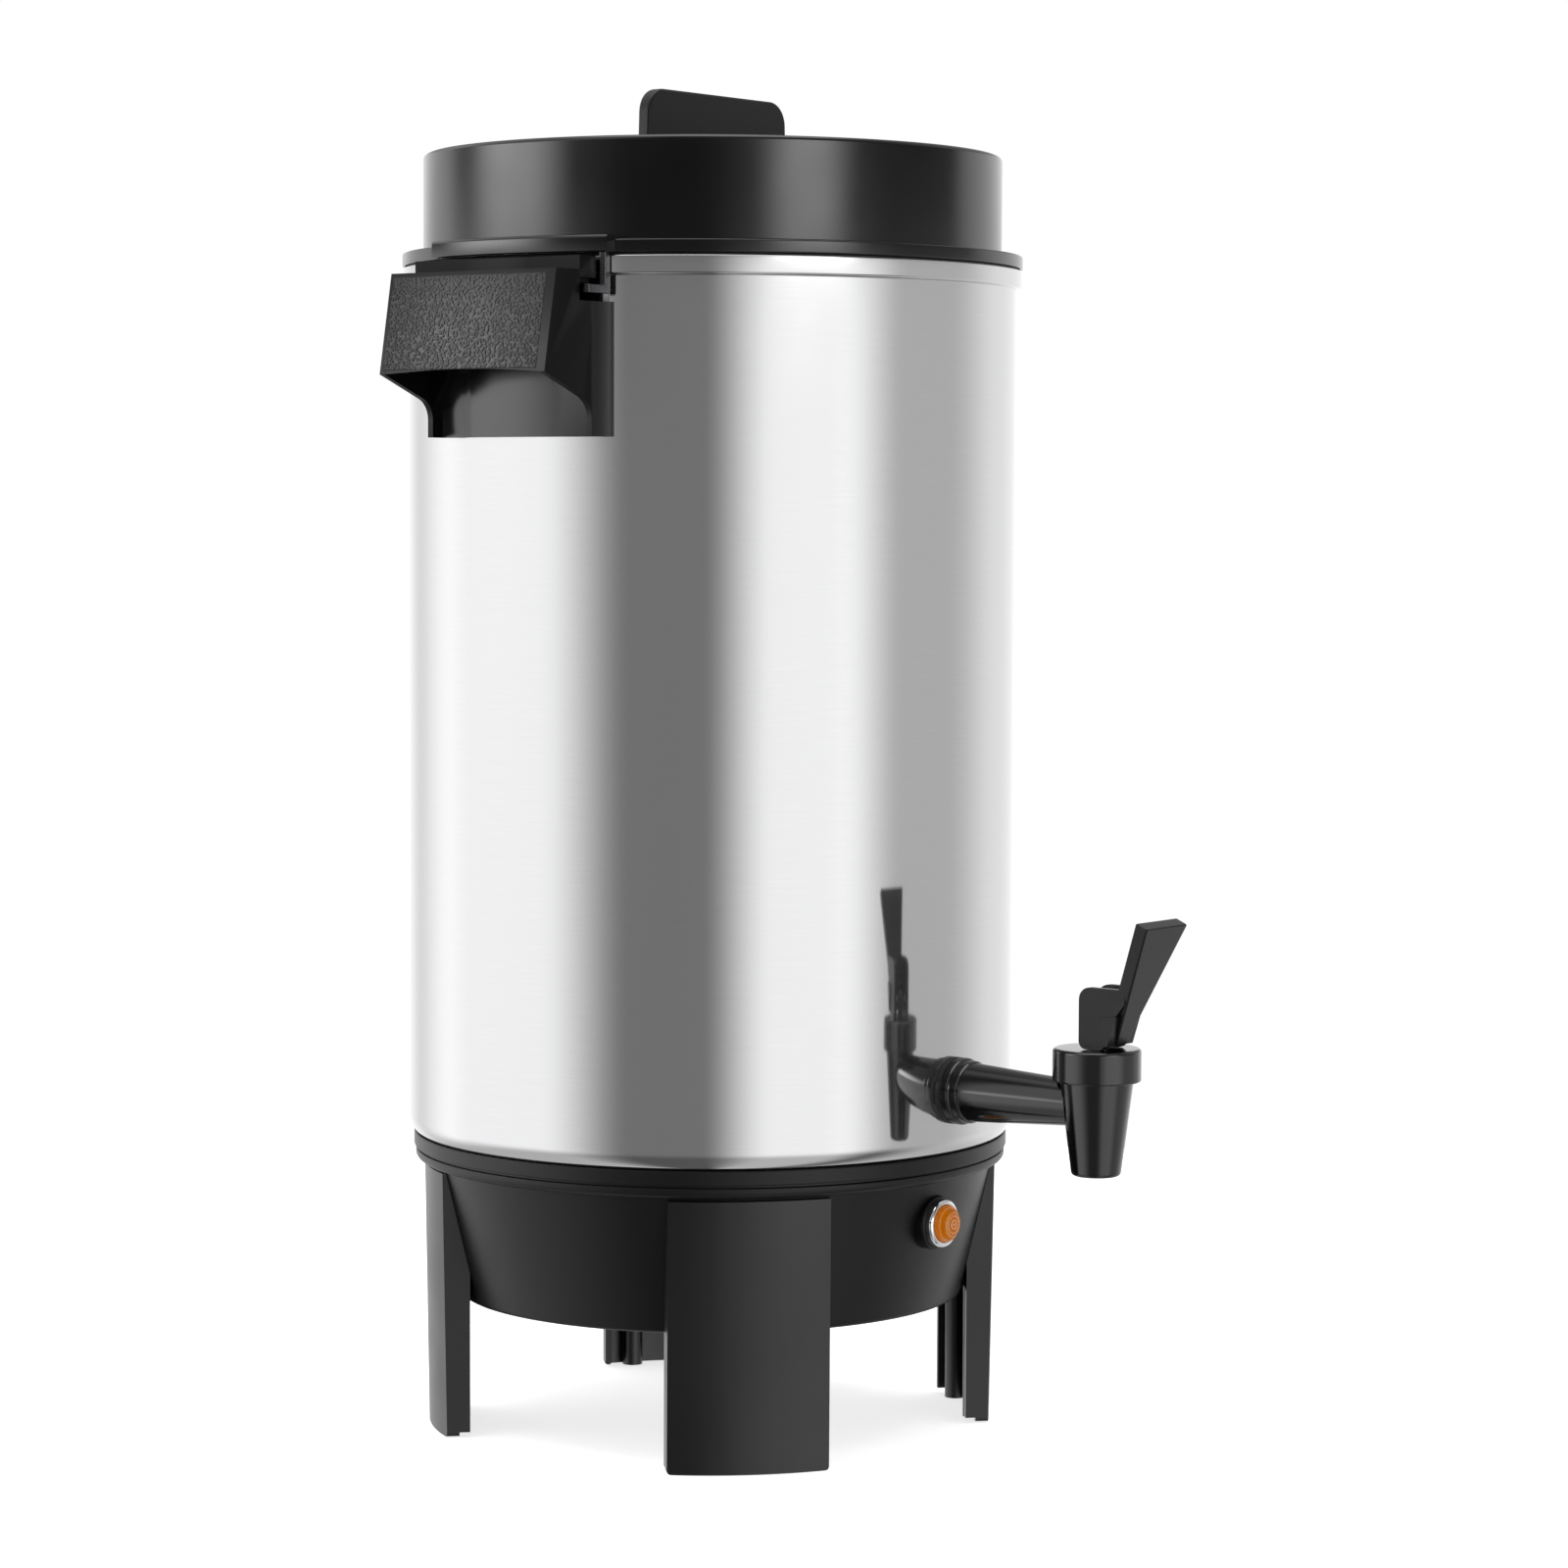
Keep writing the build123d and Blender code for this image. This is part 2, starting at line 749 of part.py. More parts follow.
def latch_path():
    """Room inside the handle that the lid's hook sweeps as the lid turns."""
    inner = tank_radius + seat_gap + back_plate + running_gap
    span = (handle_half_width - catch_length - latch_end_gap, handle_half_width + cut_overrun)
    top = rim_top_z + cut_overrun
    bar_room = tube(latch_outer_radius + latch_path_margin, inner, recess_bottom_z, top)
    foot_room = tube(latch_reach + latch_path_margin, inner, recess_bottom_z, recess_top_z)
    room = bar_room + foot_room
    return room & block(span, SIDE_BAND, (recess_bottom_z, top))


def make_handle():
    """Hollow moulding: grained front, two cheeks, a stepped deck and a plate against the tank."""
    half = handle_half_width
    inner_half = half - handle_wall
    cheeks = make_cheek(-half, -inner_half) + make_cheek(inner_half, half)
    grip = side_plate(
        [
            (grip_top_reach, grip_top_z),
            (grip_bottom_reach, grip_bottom_z),
            (grip_bottom_reach - handle_wall, grip_bottom_z),
            (grip_top_reach - handle_wall, grip_top_z),
        ],
        -half,
        half,
    )
    arch_radius = (inner_half**2 + grip_arch**2) / (2 * grip_arch)
    arch_z = grip_bottom_z + grip_arch - arch_radius
    arch_start = (0, -grip_top_reach + trim_depth, arch_z)
    arch_end = (0, -grip_bottom_reach - trim_depth, arch_z)
    grip = grip - bar(arch_radius, arch_start, arch_end)
    deck = side_plate(
        [
            (inside_reach, deck_top_z),
            (deck_reach, deck_top_z),
            (deck_reach, grip_top_z),
            (grip_top_reach - merge_depth, grip_top_z),
            (grip_top_reach - merge_depth, grip_top_z - handle_wall),
            (deck_reach - handle_wall, grip_top_z - handle_wall),
            (deck_reach - handle_wall, deck_top_z - handle_wall),
            (inside_reach, deck_top_z - handle_wall),
        ],
        -half,
        half,
    )
    back_inner = tank_radius + seat_gap
    plate = tube(back_inner + back_plate, back_inner, handle_bottom_z, rim_bottom_z - assembly_gap)
    plate = plate & block((-half, half), SIDE_BAND, (handle_bottom_z, rim_bottom_z))
    gussets = []
    for side in (-1, 1):
        outline = [
            (side * inner_half, handle_bottom_z + gusset_slope_low),
            (side * (inner_half - gusset_width), handle_bottom_z + gusset_slope_high),
            (side * (inner_half - gusset_width), recess_bottom_z),
            (side * inner_half, recess_bottom_z),
        ]
        face = make_face(Polyline(*[(x, SIDE_BAND[0], z) for x, z in outline], close=True))
        shell = tube(back_inner + gusset_depth + back_plate, back_inner, handle_bottom_z, rim_top_z)
        gussets.append(extrude(face, SIDE_BAND[1] - SIDE_BAND[0], dir=(0, 1, 0)) & shell)
    catch_bottom = recess_top_z - catch_step
    catch = block((half - catch_length, inner_half), (-deck_reach, -inside_reach), (catch_bottom, deck_top_z))
    body = joined([cheeks, cheek_flares(), grip, deck, plate] + gussets)
    body = body - latch_path()
    catch_room = (catch_bottom - cut_overrun, deck_top_z + cut_overrun)
    catch = catch - disc(latch_outer_radius + latch_path_margin, *catch_room)
    body = body + catch
    body = body - disc(back_inner, handle_bottom_z - cut_overrun, rim_bottom_z)
    body = body - disc(rim_radius + assembly_gap, rim_bottom_z - assembly_gap, rim_top_z)
    reach = (tank_radius - cut_overrun, tank_radius + handle_screw_grip + screw_tip_gap)
    for azimuth in (-handle_screw_azimuth, handle_screw_azimuth):
        body = body - radial_bar(screw_radius + running_gap, azimuth, *reach, handle_screw_z())
    return body


def handle_screw_seat():
    """Plane at the tap's azimuth with Z pointing outward, on the tank's inner wall."""
    reach = tank_inner_radius - seal_washer_thickness - seat_gap
    return Plane(origin=(0, -reach, handle_screw_z()), z_dir=(0, -1, 0))


def make_handle_screws():
    """Screws from inside the tank into the handles."""
    length = seal_washer_thickness + seat_gap + tank_wall + handle_screw_grip
    screw = handle_screw_seat() * pan_screw(length)
    return gathered([turned(azimuth, screw) for azimuth in handle_screw_places()])


def make_handle_washers():
    """Seal washers under the heads of the handle screws."""
    outer = screw_head_radius + seal_washer_margin
    ring = handle_screw_seat() * tube(outer, screw_radius + running_gap, 0, seal_washer_thickness)
    return gathered([turned(azimuth, ring) for azimuth in handle_screw_places()])


# ---- Lid ----
def lid_lug(overhang):
    """Thicker stretch of the lid's flange over a handle."""
    span = (-handle_half_width, handle_half_width + overhang)
    inner = lid_flange_radius - lid_flange_rounding - merge_depth
    ring = tube(lug_radius, inner, gasket_top_z, gasket_top_z + lug_height)
    return ring & block(span, SIDE_BAND, (gasket_top_z, gasket_top_z + lug_height))


def make_latch():
    """L-shaped hook beside a handle, at the tap's azimuth before it is turned to its side."""
    low = handle_half_width + latch_side_gap
    span = (low, low + latch_thickness)
    top_z = gasket_top_z + lug_height - latch_cover
    stem = tube(latch_outer_radius, latch_inner_radius, latch_bottom_z, top_z)
    foot = tube(latch_reach, latch_inner_radius, latch_bottom_z, latch_bottom_z + latch_foot_height)
    return (stem + foot) & block(span, SIDE_BAND, (latch_bottom_z, top_z))


def make_lid_shell():
    """Hollow cap with a flange, a plug ring inside the gasket and a lug over each handle."""
    side = lid_side_radius
    flange_top = gasket_top_z + lid_flange_height
    plug = gasket_inner_radius() - assembly_gap
    recess = side - lid_recess_margin
    floor_z = lid_top_z - lid_recess_depth
    outer = disc(side, flange_top, lid_top_z)
    outer = fillet(outer.edges().group_by(Axis.Z)[-1], lid_top_rounding)
    flange = disc(lid_flange_radius, gasket_top_z, flange_top)
    flange = fillet(flange.edges().group_by(Axis.Z)[-1], lid_flange_rounding)
    shell = outer + flange + disc(plug, gasket_top_z - lid_plug_depth, gasket_top_z)
    for side_turn in (-90, 90):
        shell = shell + turned(side_turn, lid_lug(lug_overhang))
    hollow = revolved(
        [
            (0, gasket_top_z - lid_plug_depth - cut_overrun),
            (plug - lid_wall, gasket_top_z - lid_plug_depth - cut_overrun),
            (plug - lid_wall, gasket_top_z),
            (side - lid_wall, flange_top),
            (side - lid_wall, floor_z - lid_wall),
            (0, floor_z - lid_wall),
        ]
    )
    shell = shell - hollow - disc(recess, floor_z, lid_top_z + cut_overrun)
    for latch in make_latch_pair():
        shell = shell - latch
    depth = (floor_z - lid_wall - cut_overrun, floor_z + cut_overrun)
    for x in grip_screw_places():
        shell = shell - Pos(x, 0, 0) * disc(screw_radius + seat_gap, *depth)
    return shell - Pos(0, -vent_circle, 0) * disc(vent_radius, *depth)


def make_latch_pair():
    """The hook of each side, turned to its place."""
    return [turned(side, make_latch()) for side in (-90, 90)]


def make_lid_latches():
    """The lid's two hooks in one node."""
    return gathered(make_latch_pair())


def gasket_inner_radius():
    """Bore of the gasket's leg, which the lid's plug fits."""
    return tank_inner_radius - assembly_gap - gasket_leg


def make_lid_gasket():
    """Ring with an L section, its lip on the rim and its leg inside the tank's wall."""
    inner = gasket_inner_radius()
    return revolved(
        [
            (inner, rim_top_z - gasket_leg_depth),
            (inner + gasket_leg, rim_top_z - gasket_leg_depth),
            (inner + gasket_leg, rim_top_z),
            (rim_radius - rim_rounding, rim_top_z),
            (rim_radius - rim_rounding, gasket_top_z),
            (inner, gasket_top_z),
        ]
    )


def grip_screw_places():
    """Sideways place of the screws that hold the lid's grip."""
    return (-grip_screw_pitch / 2, grip_screw_pitch / 2)


def make_lid_grip():
    """Upright bar with rounded top corners on a thin foot."""
    base_z = lid_top_z - lid_recess_depth
    top_z = lid_top_z + grip_bar_height
    half = grip_bar_length / 2
    top_half = half - grip_bar_draft
    corners = [(-half, base_z), (half, base_z), (top_half, top_z), (-top_half, top_z)]
    radii = [0, 0, grip_bar_corner, grip_bar_corner]
    thick = grip_bar_thickness / 2
    outline = FilletPolyline(*[(x, -thick, z) for x, z in corners], radius=radii, close=True)
    fin = extrude(make_face(outline), grip_bar_thickness, dir=(0, 1, 0))
    face_edges = [edge for edge in fin.edges() if abs(abs(edge.center().Y) - thick) < edge_tolerance]
    upper_edges = [edge for edge in face_edges if edge.center().Z > base_z + grip_foot_height]
    fin = fillet(upper_edges, grip_bar_edge)
    foot_half = (half + grip_foot_end, thick + grip_foot_side)
    foot_top = base_z + grip_foot_height
    foot = block((-foot_half[0], foot_half[0]), (-foot_half[1], foot_half[1]), (base_z, foot_top))
    grip = fin + fillet(foot.edges().filter_by(Axis.Z), grip_foot_corner)
    depth = (base_z - cut_overrun, base_z + grip_screw_grip + screw_tip_gap)
    for x in grip_screw_places():
        grip = grip - Pos(x, 0, 0) * disc(screw_radius + running_gap, *depth)
    return grip


def make_lid_grip_screws():
    """Screws from inside the lid into its grip."""
    under = lid_top_z - lid_recess_depth - lid_wall
    return gathered([Pos(x, 0, under) * pan_screw(lid_wall + grip_screw_grip) for x in grip_screw_places()])


# ---- Percolator set ----
def make_pump_stem():
    """Tube the brew rises in, with the shoulder the basket rests on."""
    low = well_floor_z + tank_wall + foot_disc_thickness / 2
    shoulder_low = basket_floor_z - stem_shoulder_height
    stem = disc(stem_radius, low, stem_top_z) + disc(stem_shoulder_radius, shoulder_low, basket_floor_z)
    return stem - disc(stem_bore, low - cut_overrun, stem_top_z + cut_overrun)


def make_pump_foot():
    """Bell on the sump's floor, slotted to let water in."""
    floor_z = well_floor_z + tank_wall
    top_z = floor_z + foot_disc_thickness
    bell = revolved(
        [
            (0, floor_z),
            (foot_disc_radius, floor_z),
            (foot_disc_radius, top_z),
            (stem_radius + bell_wall, top_z + bell_height),
            (0, top_z + bell_height),
        ]
    )
    socket_top = top_z + bell_height + cut_overrun
    bell = bell - disc(stem_radius + running_gap, floor_z + foot_disc_thickness / 2, socket_top)
    bell = bell - disc(stem_bore, floor_z - cut_overrun, top_z)
    half = foot_slot_width / 2
    slot_height = (floor_z - cut_overrun, floor_z + foot_slot_depth)
    slot = block((-half, half), (-foot_disc_radius - cut_overrun, 0), slot_height)
    for cut in polar(foot_slot_count, foot_slot_azimuth, slot):
        bell = bell - cut
    return bell


def make_basket():
    """Perforated coffee basket with a sleeve round the stem."""
    sleeve = stem_radius + soft_gap
    low = basket_floor_z
    top = low + basket_height
    wall = basket_wall
    outline = [
        (sleeve, low),
        (basket_radius, low),
        (basket_radius, top - wall),
        (basket_radius + basket_rim, top - wall),
        (basket_radius + basket_rim, top),
        (basket_radius - wall, top),
        (basket_radius - wall, low + wall),
        (sleeve + sleeve_wall, low + wall),
        (sleeve + sleeve_wall, top - spreader_dish - soft_gap),
        (sleeve, top - spreader_dish - soft_gap),
    ]
    basket = revolved(outline)
    depth = (low - cut_overrun, low + wall + cut_overrun)
    hole = Pos(0, -basket_perforation_circle, 0) * disc(perforation_radius, *depth)
    for cut in polar(basket_perforations, 0, hole):
        basket = basket - cut
    return basket


def make_basket_cover():
    """Dished spreader plate that rests on the basket's rim."""
    sleeve = stem_radius + soft_gap
    top = basket_floor_z + basket_height
    wall = basket_wall
    dish = basket_radius - wall - assembly_gap
    outline = [
        (sleeve, top - spreader_dish),
        (dish, top - spreader_dish),
        (dish, top),
        (basket_radius + basket_rim, top),
        (basket_radius + basket_rim, top + wall),
        (dish - wall, top + wall),
        (dish - wall, top - spreader_dish + wall),
        (sleeve, top - spreader_dish + wall),
    ]
    cover = revolved(outline)
    depth = (top - spreader_dish - cut_overrun, top + cut_overrun)
    hole = Pos(0, -basket_perforation_circle, 0) * disc(perforation_radius, *depth)
    for cut in polar(basket_perforations, 180 / basket_perforations, hole):
        cover = cover - cut
    return cover


# ---- Tap ----
def tap_bar(radius, near, far):
    """Round bar along the tap's tube."""
    return bar(radius, (0, -near, tap_z), (0, -far, tap_z))


def cup_post(radius, low, high):
    """Upright post on the spout cup's axis."""
    return Pos(0, -tap_reach, 0) * disc(radius, low, high)


def shank_drill(gap):
    """Cutter round the tap's shank, wider than it by a gap."""
    near = tank_radius - tap_shank_length - cut_overrun
    return tap_bar(tap_shank_radius + gap, near, tank_radius + tap_gasket_thickness + cut_overrun)


def make_tap_gasket():
    """Seal between the tank's wall and the tap's collar."""
    face = tank_radius + tap_gasket_thickness
    ring = tap_bar(tap_collar_radius, tank_radius - cut_overrun, face) - shank_drill(seat_gap)
    return ring - disc(tank_radius + running_gap, tap_z - trim_depth, tap_z + trim_depth)


def make_tap_body():
    """Collar, tapered tube and spout cup, with the shank that passes into the tank."""
    face = tank_radius + tap_gasket_thickness
    collar_end = face + tap_collar_length
    step_end = collar_end + tap_step_length
    collar = tap_bar(tap_collar_radius, face, collar_end)
    collar = fillet(collar.edges().group_by(Axis.Y)[0], tap_collar_rounding)
    step = tap_bar(tap_step_radius, collar_end - merge_depth, step_end)
    step = fillet(step.edges().group_by(Axis.Y)[0], tap_collar_rounding)
    tip = tap_reach - cup_top_radius + tube_tip_sink
    pipe_root = (0, merge_depth - step_end, tap_z)
    pipe = taper(tube_root_radius, tube_tip_radius, pipe_root, (0, -tip, tap_z))
    shank = tap_bar(tap_shank_radius, face - tap_shank_length, face + merge_depth)
    cup_height = cup_top_z - cup_bottom_z
    cup = Pos(0, -tap_reach, cup_bottom_z) * Cone(cup_bottom_radius, cup_top_radius, cup_height, align=BOTTOM)
    cup = fillet(cup.edges().group_by(Axis.Z)[0], cup_lip_rounding)
    neck = cup_post(neck_radius, cup_top_z - merge_depth, cup_top_z + neck_height)
    body = joined([collar, step, pipe, shank, cup, neck])
    body = body - tap_bar(tap_bore, face - tap_shank_length - cut_overrun, tap_reach)
    body = body - cup_post(chamber_radius, seat_z, cup_top_z + neck_height + cut_overrun)
    return body - cup_post(spout_bore, cup_bottom_z - cut_overrun, seat_z + merge_depth)


def make_tap_inner_washer():
    """Washer against the tank's inner wall, its outer face curved to match."""
    far = tank_inner_radius + cut_overrun
    ring = tap_bar(nut_across_flats / 2, tank_inner_radius - washer_thickness, far)
    ring = ring & disc(tank_inner_radius - running_gap, tap_z - trim_depth, tap_z + trim_depth)
    return ring - shank_drill(seat_gap)


def make_tap_nut():
    """Nut on the shank inside the tank."""
    inner = tank_inner_radius - washer_thickness
    seat = Plane(origin=(0, -inner + nut_thickness, tap_z), z_dir=(0, -1, 0))
    nut = seat * hexagon(nut_across_flats, 0, nut_thickness)
    return nut - shank_drill(running_gap)


def make_bonnet():
    """Cap over the cup's neck that guides the valve's stem."""
    cap = cup_post(bonnet_radius, cup_top_z, bonnet_top_z)
    cap = fillet(cap.edges().filter_by(GeomType.CIRCLE), bonnet_edge)
    ceiling = bonnet_top_z - bonnet_top
    cap = cap - cup_post(neck_radius + running_gap, cup_top_z - cut_overrun, ceiling)
    return cap - cup_post(valve_stem_radius + running_gap, ceiling - cut_overrun, bonnet_top_z + cut_overrun)


# ---- Valve and lever ----
def make_valve_stem():
    """Rod with the flange the spring bears on and the head the lever's pin passes through."""
    cup_top = seat_z + seat_cup_height
    rod = cup_post(valve_stem_radius, seat_z + seat_cup_floor, pin_z)
    flange = cup_post(spring_radius + spring_wire, cup_top, cup_top + stem_flange)
    head = cup_post(stem_head_radius, pin_z - stem_head_radius, pin_z + stem_head_radius)
    head = fillet(head.edges().group_by(Axis.Z)[-1], stem_head_radius - stem_head_flat)
    stem = rod + flange + head
    reach = stem_head_radius + cut_overrun
    return stem - bar(pin_radius + running_gap, (-reach, -tap_reach, pin_z), (reach, -tap_reach, pin_z))


def make_seat_cup():
    """Soft cup on the rod's end that closes the spout."""
    top = seat_z + seat_cup_height
    cup = cup_post(seat_cup_radius, seat_z, top)
    cup = fillet(cup.edges().group_by(Axis.Z)[-1], seat_cup_rounding)
    return cup - cup_post(valve_stem_radius, seat_z + seat_cup_floor, top + cut_overrun)


def make_valve_spring():
    """Open coil between the rod's flange and the bonnet."""
    low = seat_z + seat_cup_height + stem_flange + spring_wire
    high = bonnet_top_z - bonnet_top - spring_wire
    turns_height = high - low
    coil = Helix(turns_height / spring_turns, turns_height, spring_radius - spring_wire)
    wire = sweep(Plane(origin=coil @ 0, z_dir=coil % 0) * Circle(spring_wire), path=coil)
    return Pos(0, -tap_reach, low) * wire


def lever_plate(points, half):
    """Plate between x = -half and half from (offset, height) points off the cup's axis."""
    return side_plate([(tap_reach + s, z) for s, z in points], -half, half)


def make_tap_lever():
    """Two cam cheeks on the bonnet, a root between them and a leaning tapered paddle."""
    low = lever_low_z
    high = low + cheek_height
    corners = [
        (-cheek_back, low),
        (cheek_toe, low),
        (cheek_toe, low + cheek_toe_height),
        (cheek_front, low + cheek_shoulder),
        (cheek_front, high),
        (-cheek_back, high),
    ]
    radii = [cheek_corner_bottom, cheek_corner_bottom, 0, 0, 0, cheek_corner_top]
    outline = FilletPolyline(
        *[(-cheek_half_span, -tap_reach - s, z) for s, z in corners], radius=radii, close=True
    )
    cheek = extrude(make_face(outline), cheek_thickness, dir=(1, 0, 0))
    other = Pos(2 * cheek_half_span - cheek_thickness, 0, 0) * cheek
    rise = paddle_top_offset - paddle_bottom_offset
    lean = atan(rise / paddle_height)
    foot = (0, -tap_reach - paddle_bottom_offset, low + paddle_lift)
    outer_face = Plane(origin=foot, x_dir=(1, 0, 0), z_dir=(0, -cos(lean), -sin(lean)))
    length = paddle_height / cos(lean)
    trapezoid = Polyline(
        (-paddle_bottom_width / 2, 0),
        (paddle_bottom_width / 2, 0),
        (paddle_top_width / 2, length),
        (-paddle_top_width / 2, length),
        close=True,
    )
    paddle = extrude(outer_face * make_face(trapezoid), -paddle_thickness)
    paddle = fillet(paddle.edges(), paddle_edge)
    root = lever_plate(
        [
            (root_inner_offset, low + root_height),
            (root_outer_offset, low + root_height + root_slope),
            (paddle_bottom_offset - paddle_edge, low + paddle_lift),
            (root_inner_offset + root_foot_inset, low + paddle_lift),
        ],
        root_width / 2,
    )
    lever = joined([cheek, other, paddle, root])
    # The cheeks stop at the paddle's outer face.
    beyond = Box(2 * paddle_top_width, 3 * paddle_height, trim_depth, align=BOTTOM)
    lever = lever - outer_face * Pos(0, 0, cheek_trim_gap) * beyond
    reach = cheek_half_span - pin_cover
    hole = bar(pin_radius + running_gap, (-reach, -tap_reach, pin_z), (reach, -tap_reach, pin_z))
    return lever - hole


def make_lever_pin():
    """Pin through both cheeks and the stem's head."""
    reach = cheek_half_span - pin_cover - running_gap
    return bar(pin_radius, (-reach, -tap_reach, pin_z), (reach, -tap_reach, pin_z))


# ---- Pilot light ----
def pilot_bar(radius, near, far):
    """Round bar on the pilot light's axis."""
    return bar(radius, (0, -near, pilot_z), (0, -far, pilot_z))


def make_pilot_bezel():
    """Plated ring round the lens."""
    front = pilot_boss_reach + bezel_depth
    ring = pilot_bar(bezel_radius, pilot_boss_reach, front)
    ring = fillet(ring.edges().group_by(Axis.Y)[0], bezel_rounding)
    return ring - pilot_bar(lens_radius + running_gap, pilot_boss_reach - cut_overrun, front + cut_overrun)


def make_pilot_lens():
    """Stepped lens that stands out of the bezel."""
    base = pilot_boss_reach + bezel_depth + lens_projection
    step = base + lens_step_depth
    lens = pilot_bar(lens_radius, pilot_boss_reach, base)
    lens = fillet(lens.edges().group_by(Axis.Y)[0], lens_rounding)
    dome = pilot_bar(lens_step_radius, base - merge_depth, step)
    dome = fillet(dome.edges().group_by(Axis.Y)[0], lens_step_rounding)
    return lens + dome


def make_pilot_housing():
    """Case behind the lens, closed at its inner end."""
    inner = pilot_boss_reach - housing_length
    case = pilot_bar(housing_radius, inner, pilot_boss_reach)
    bore = (inner + housing_floor, pilot_boss_reach + cut_overrun)
    return case - pilot_bar(housing_radius - housing_wall, *bore)


def make_pilot_lamp():
    """Small lamp standing on the housing's floor."""
    inner = pilot_boss_reach - housing_length + housing_floor
    lamp = pilot_bar(lamp_radius, inner, inner + lamp_length)
    return fillet(lamp.edges().group_by(Axis.Y)[0], lamp_rounding)


def make_pilot_nut():
    """Ring nut on the housing, against the boss."""
    seat = pilot_seat_reach()
    inner = seat - pilot_nut_thickness
    nut = pilot_bar(pilot_nut_radius, inner, seat)
    return nut - pilot_bar(housing_radius + running_gap, inner - cut_overrun, seat + cut_overrun)


# ---- Heaters and controls ----
def make_brew_heater():
    """Sheathed element round the sump, with its two end pins."""
    z = clamp_underside() - brew_tube_radius - brew_drop
    ring = well_radius + tank_wall + brew_tube_radius + running_gap
    coil = Pos(0, 0, z) * Torus(ring, brew_tube_radius)
    outer = ring + brew_tube_radius
    pins = [radial_bar(brew_pin_radius, a, ring, outer + brew_pin_length, z) for a in brew_pin_azimuths]
    return joined([coil] + pins)


def make_warming_heater():
    """Flat warming element against the tank's floor."""
    low = tank_floor_z - warming_thickness
    return tube(warming_outer_radius, warming_inner_radius, low, tank_floor_z)


def make_heater_clamp():
    """Plate that presses the warming element up, held on the tank's studs."""
    top = tank_floor_z - warming_thickness
    low = top - clamp_thickness
    ring = tube(warming_outer_radius + clamp_outer_lip, warming_inner_radius + clamp_inner_step, low, top)
    half = clamp_arm_width / 2
    reach = stud_circle + clamp_arm_overhang
    arm = block((-half, half), (-reach, -warming_outer_radius), (low, top))
    plate = joined([ring] + polar(stud_count, stud_azimuth, arm))
    hole = stud_axis(low - cut_overrun, top + cut_overrun, stud_radius + seat_gap)
    for cut in polar(stud_count, stud_azimuth, hole):
        plate = plate - cut
    return plate


def clamp_underside():
    """Height of the clamp plate's lower face, which carries the controls."""
    return tank_floor_z - warming_thickness - clamp_thickness


def make_thermostat():
    """Round can with two blade terminals."""
    top = clamp_underside()
    bottom = top - thermostat_height
    can = disc(thermostat_radius, bottom, top)
    half_width = blade_width / 2
    half_thick = blade_thickness / 2
    blades = [
        block((x - half_width, x + half_width), (-half_thick, half_thick), (bottom - blade_length, bottom))
        for x in (-blade_pitch / 2, blade_pitch / 2)
    ]
    unit = Pos(0, -thermostat_circle, 0) * joined([can] + blades)
    return turned(thermostat_azimuth, unit)


def make_thermal_cutoff():
    """Small safety cut-out under the clamp plate."""
    top = clamp_underside()
    half_length = cutoff_length / 2
    half_width = cutoff_width / 2
    case = block((-half_length, half_length), (-half_width, half_width), (top - cutoff_height, top))
    case = fillet(case.edges().filter_by(Axis.X).group_by(Axis.Z)[0], cutoff_rounding)
    return turned(cutoff_azimuth, Pos(0, -thermostat_circle, 0) * case)


def make_terminal_block():
    """Screw terminals on the bottom cover."""
    low = cover_z + cover_thickness
    high = low + terminal_height
    half = terminal_length / 2
    case = block((-half, half), (-terminal_width / 2, terminal_width / 2), (low, high))
    pitch = terminal_length / terminal_poles
    well = disc(terminal_well_radius, high - terminal_well_depth, high + cut_overrun)
    for i in range(terminal_poles):
        case = case - Pos(pitch * (i + 0.5) - half, 0, 0) * well
    return Pos(0, terminal_circle, 0) * case


def inlet_block(width, height, near, far):
    """Block centred on the power inlet's axis."""
    return block((-width / 2, width / 2), (near, far), (inlet_z - height / 2, inlet_z + height / 2))


def inlet_screw_places():
    """Sideways place of the power inlet's screws."""
    return (-inlet_screw_pitch / 2, inlet_screw_pitch / 2)


def make_power_inlet():
    """Flanged socket for a detachable mains lead."""
    face = inlet_pad_reach
    case = inlet_block(inlet_width, inlet_height, face - inlet_depth, face)
    flange = inlet_block(inlet_flange_width, inlet_flange_height, face, face + inlet_flange)
    flange = fillet(flange.edges().filter_by(Axis.Y), inlet_corner)
    walls = 2 * inlet_socket_wall
    floor = face - inlet_depth + inlet_back
    outside = face + inlet_flange + cut_overrun
    inlet = case + flange - inlet_block(inlet_width - walls, inlet_height - walls, floor, outside)
    for x in inlet_screw_places():
        hole = bar(screw_radius + seat_gap, (x, face - cut_overrun, inlet_z), (x, outside, inlet_z))
        inlet = inlet - hole
    for place in inlet_pin_places():
        inlet = inlet - place
    return inlet


def inlet_pin_places():
    """The three pins, the middle one raised."""
    half_thick = inlet_pin_thickness / 2
    half_wide = inlet_pin_width / 2
    tail = inlet_pad_reach - inlet_depth - inlet_pin_tail
    tip = inlet_pad_reach + inlet_flange - inlet_pin_recess
    pins = []
    for x, rise in ((-inlet_pin_pitch, -1), (0, 1), (inlet_pin_pitch, -1)):
        z = inlet_z + rise * inlet_pin_stagger
        pins.append(block((x - half_thick, x + half_thick), (tail, tip), (z - half_wide, z + half_wide)))
    return pins


def make_inlet_pins():
    """The inlet's pins in one node."""
    return gathered(inlet_pin_places())


def make_inlet_screws():
    """Screws that hold the inlet's flange to its pad."""
    face = inlet_pad_reach + inlet_flange
    seats = [Plane(origin=(x, face, inlet_z), z_dir=(0, -1, 0)) for x in inlet_screw_places()]
    return gathered([seat * pan_screw(inlet_flange + inlet_screw_grip) for seat in seats])


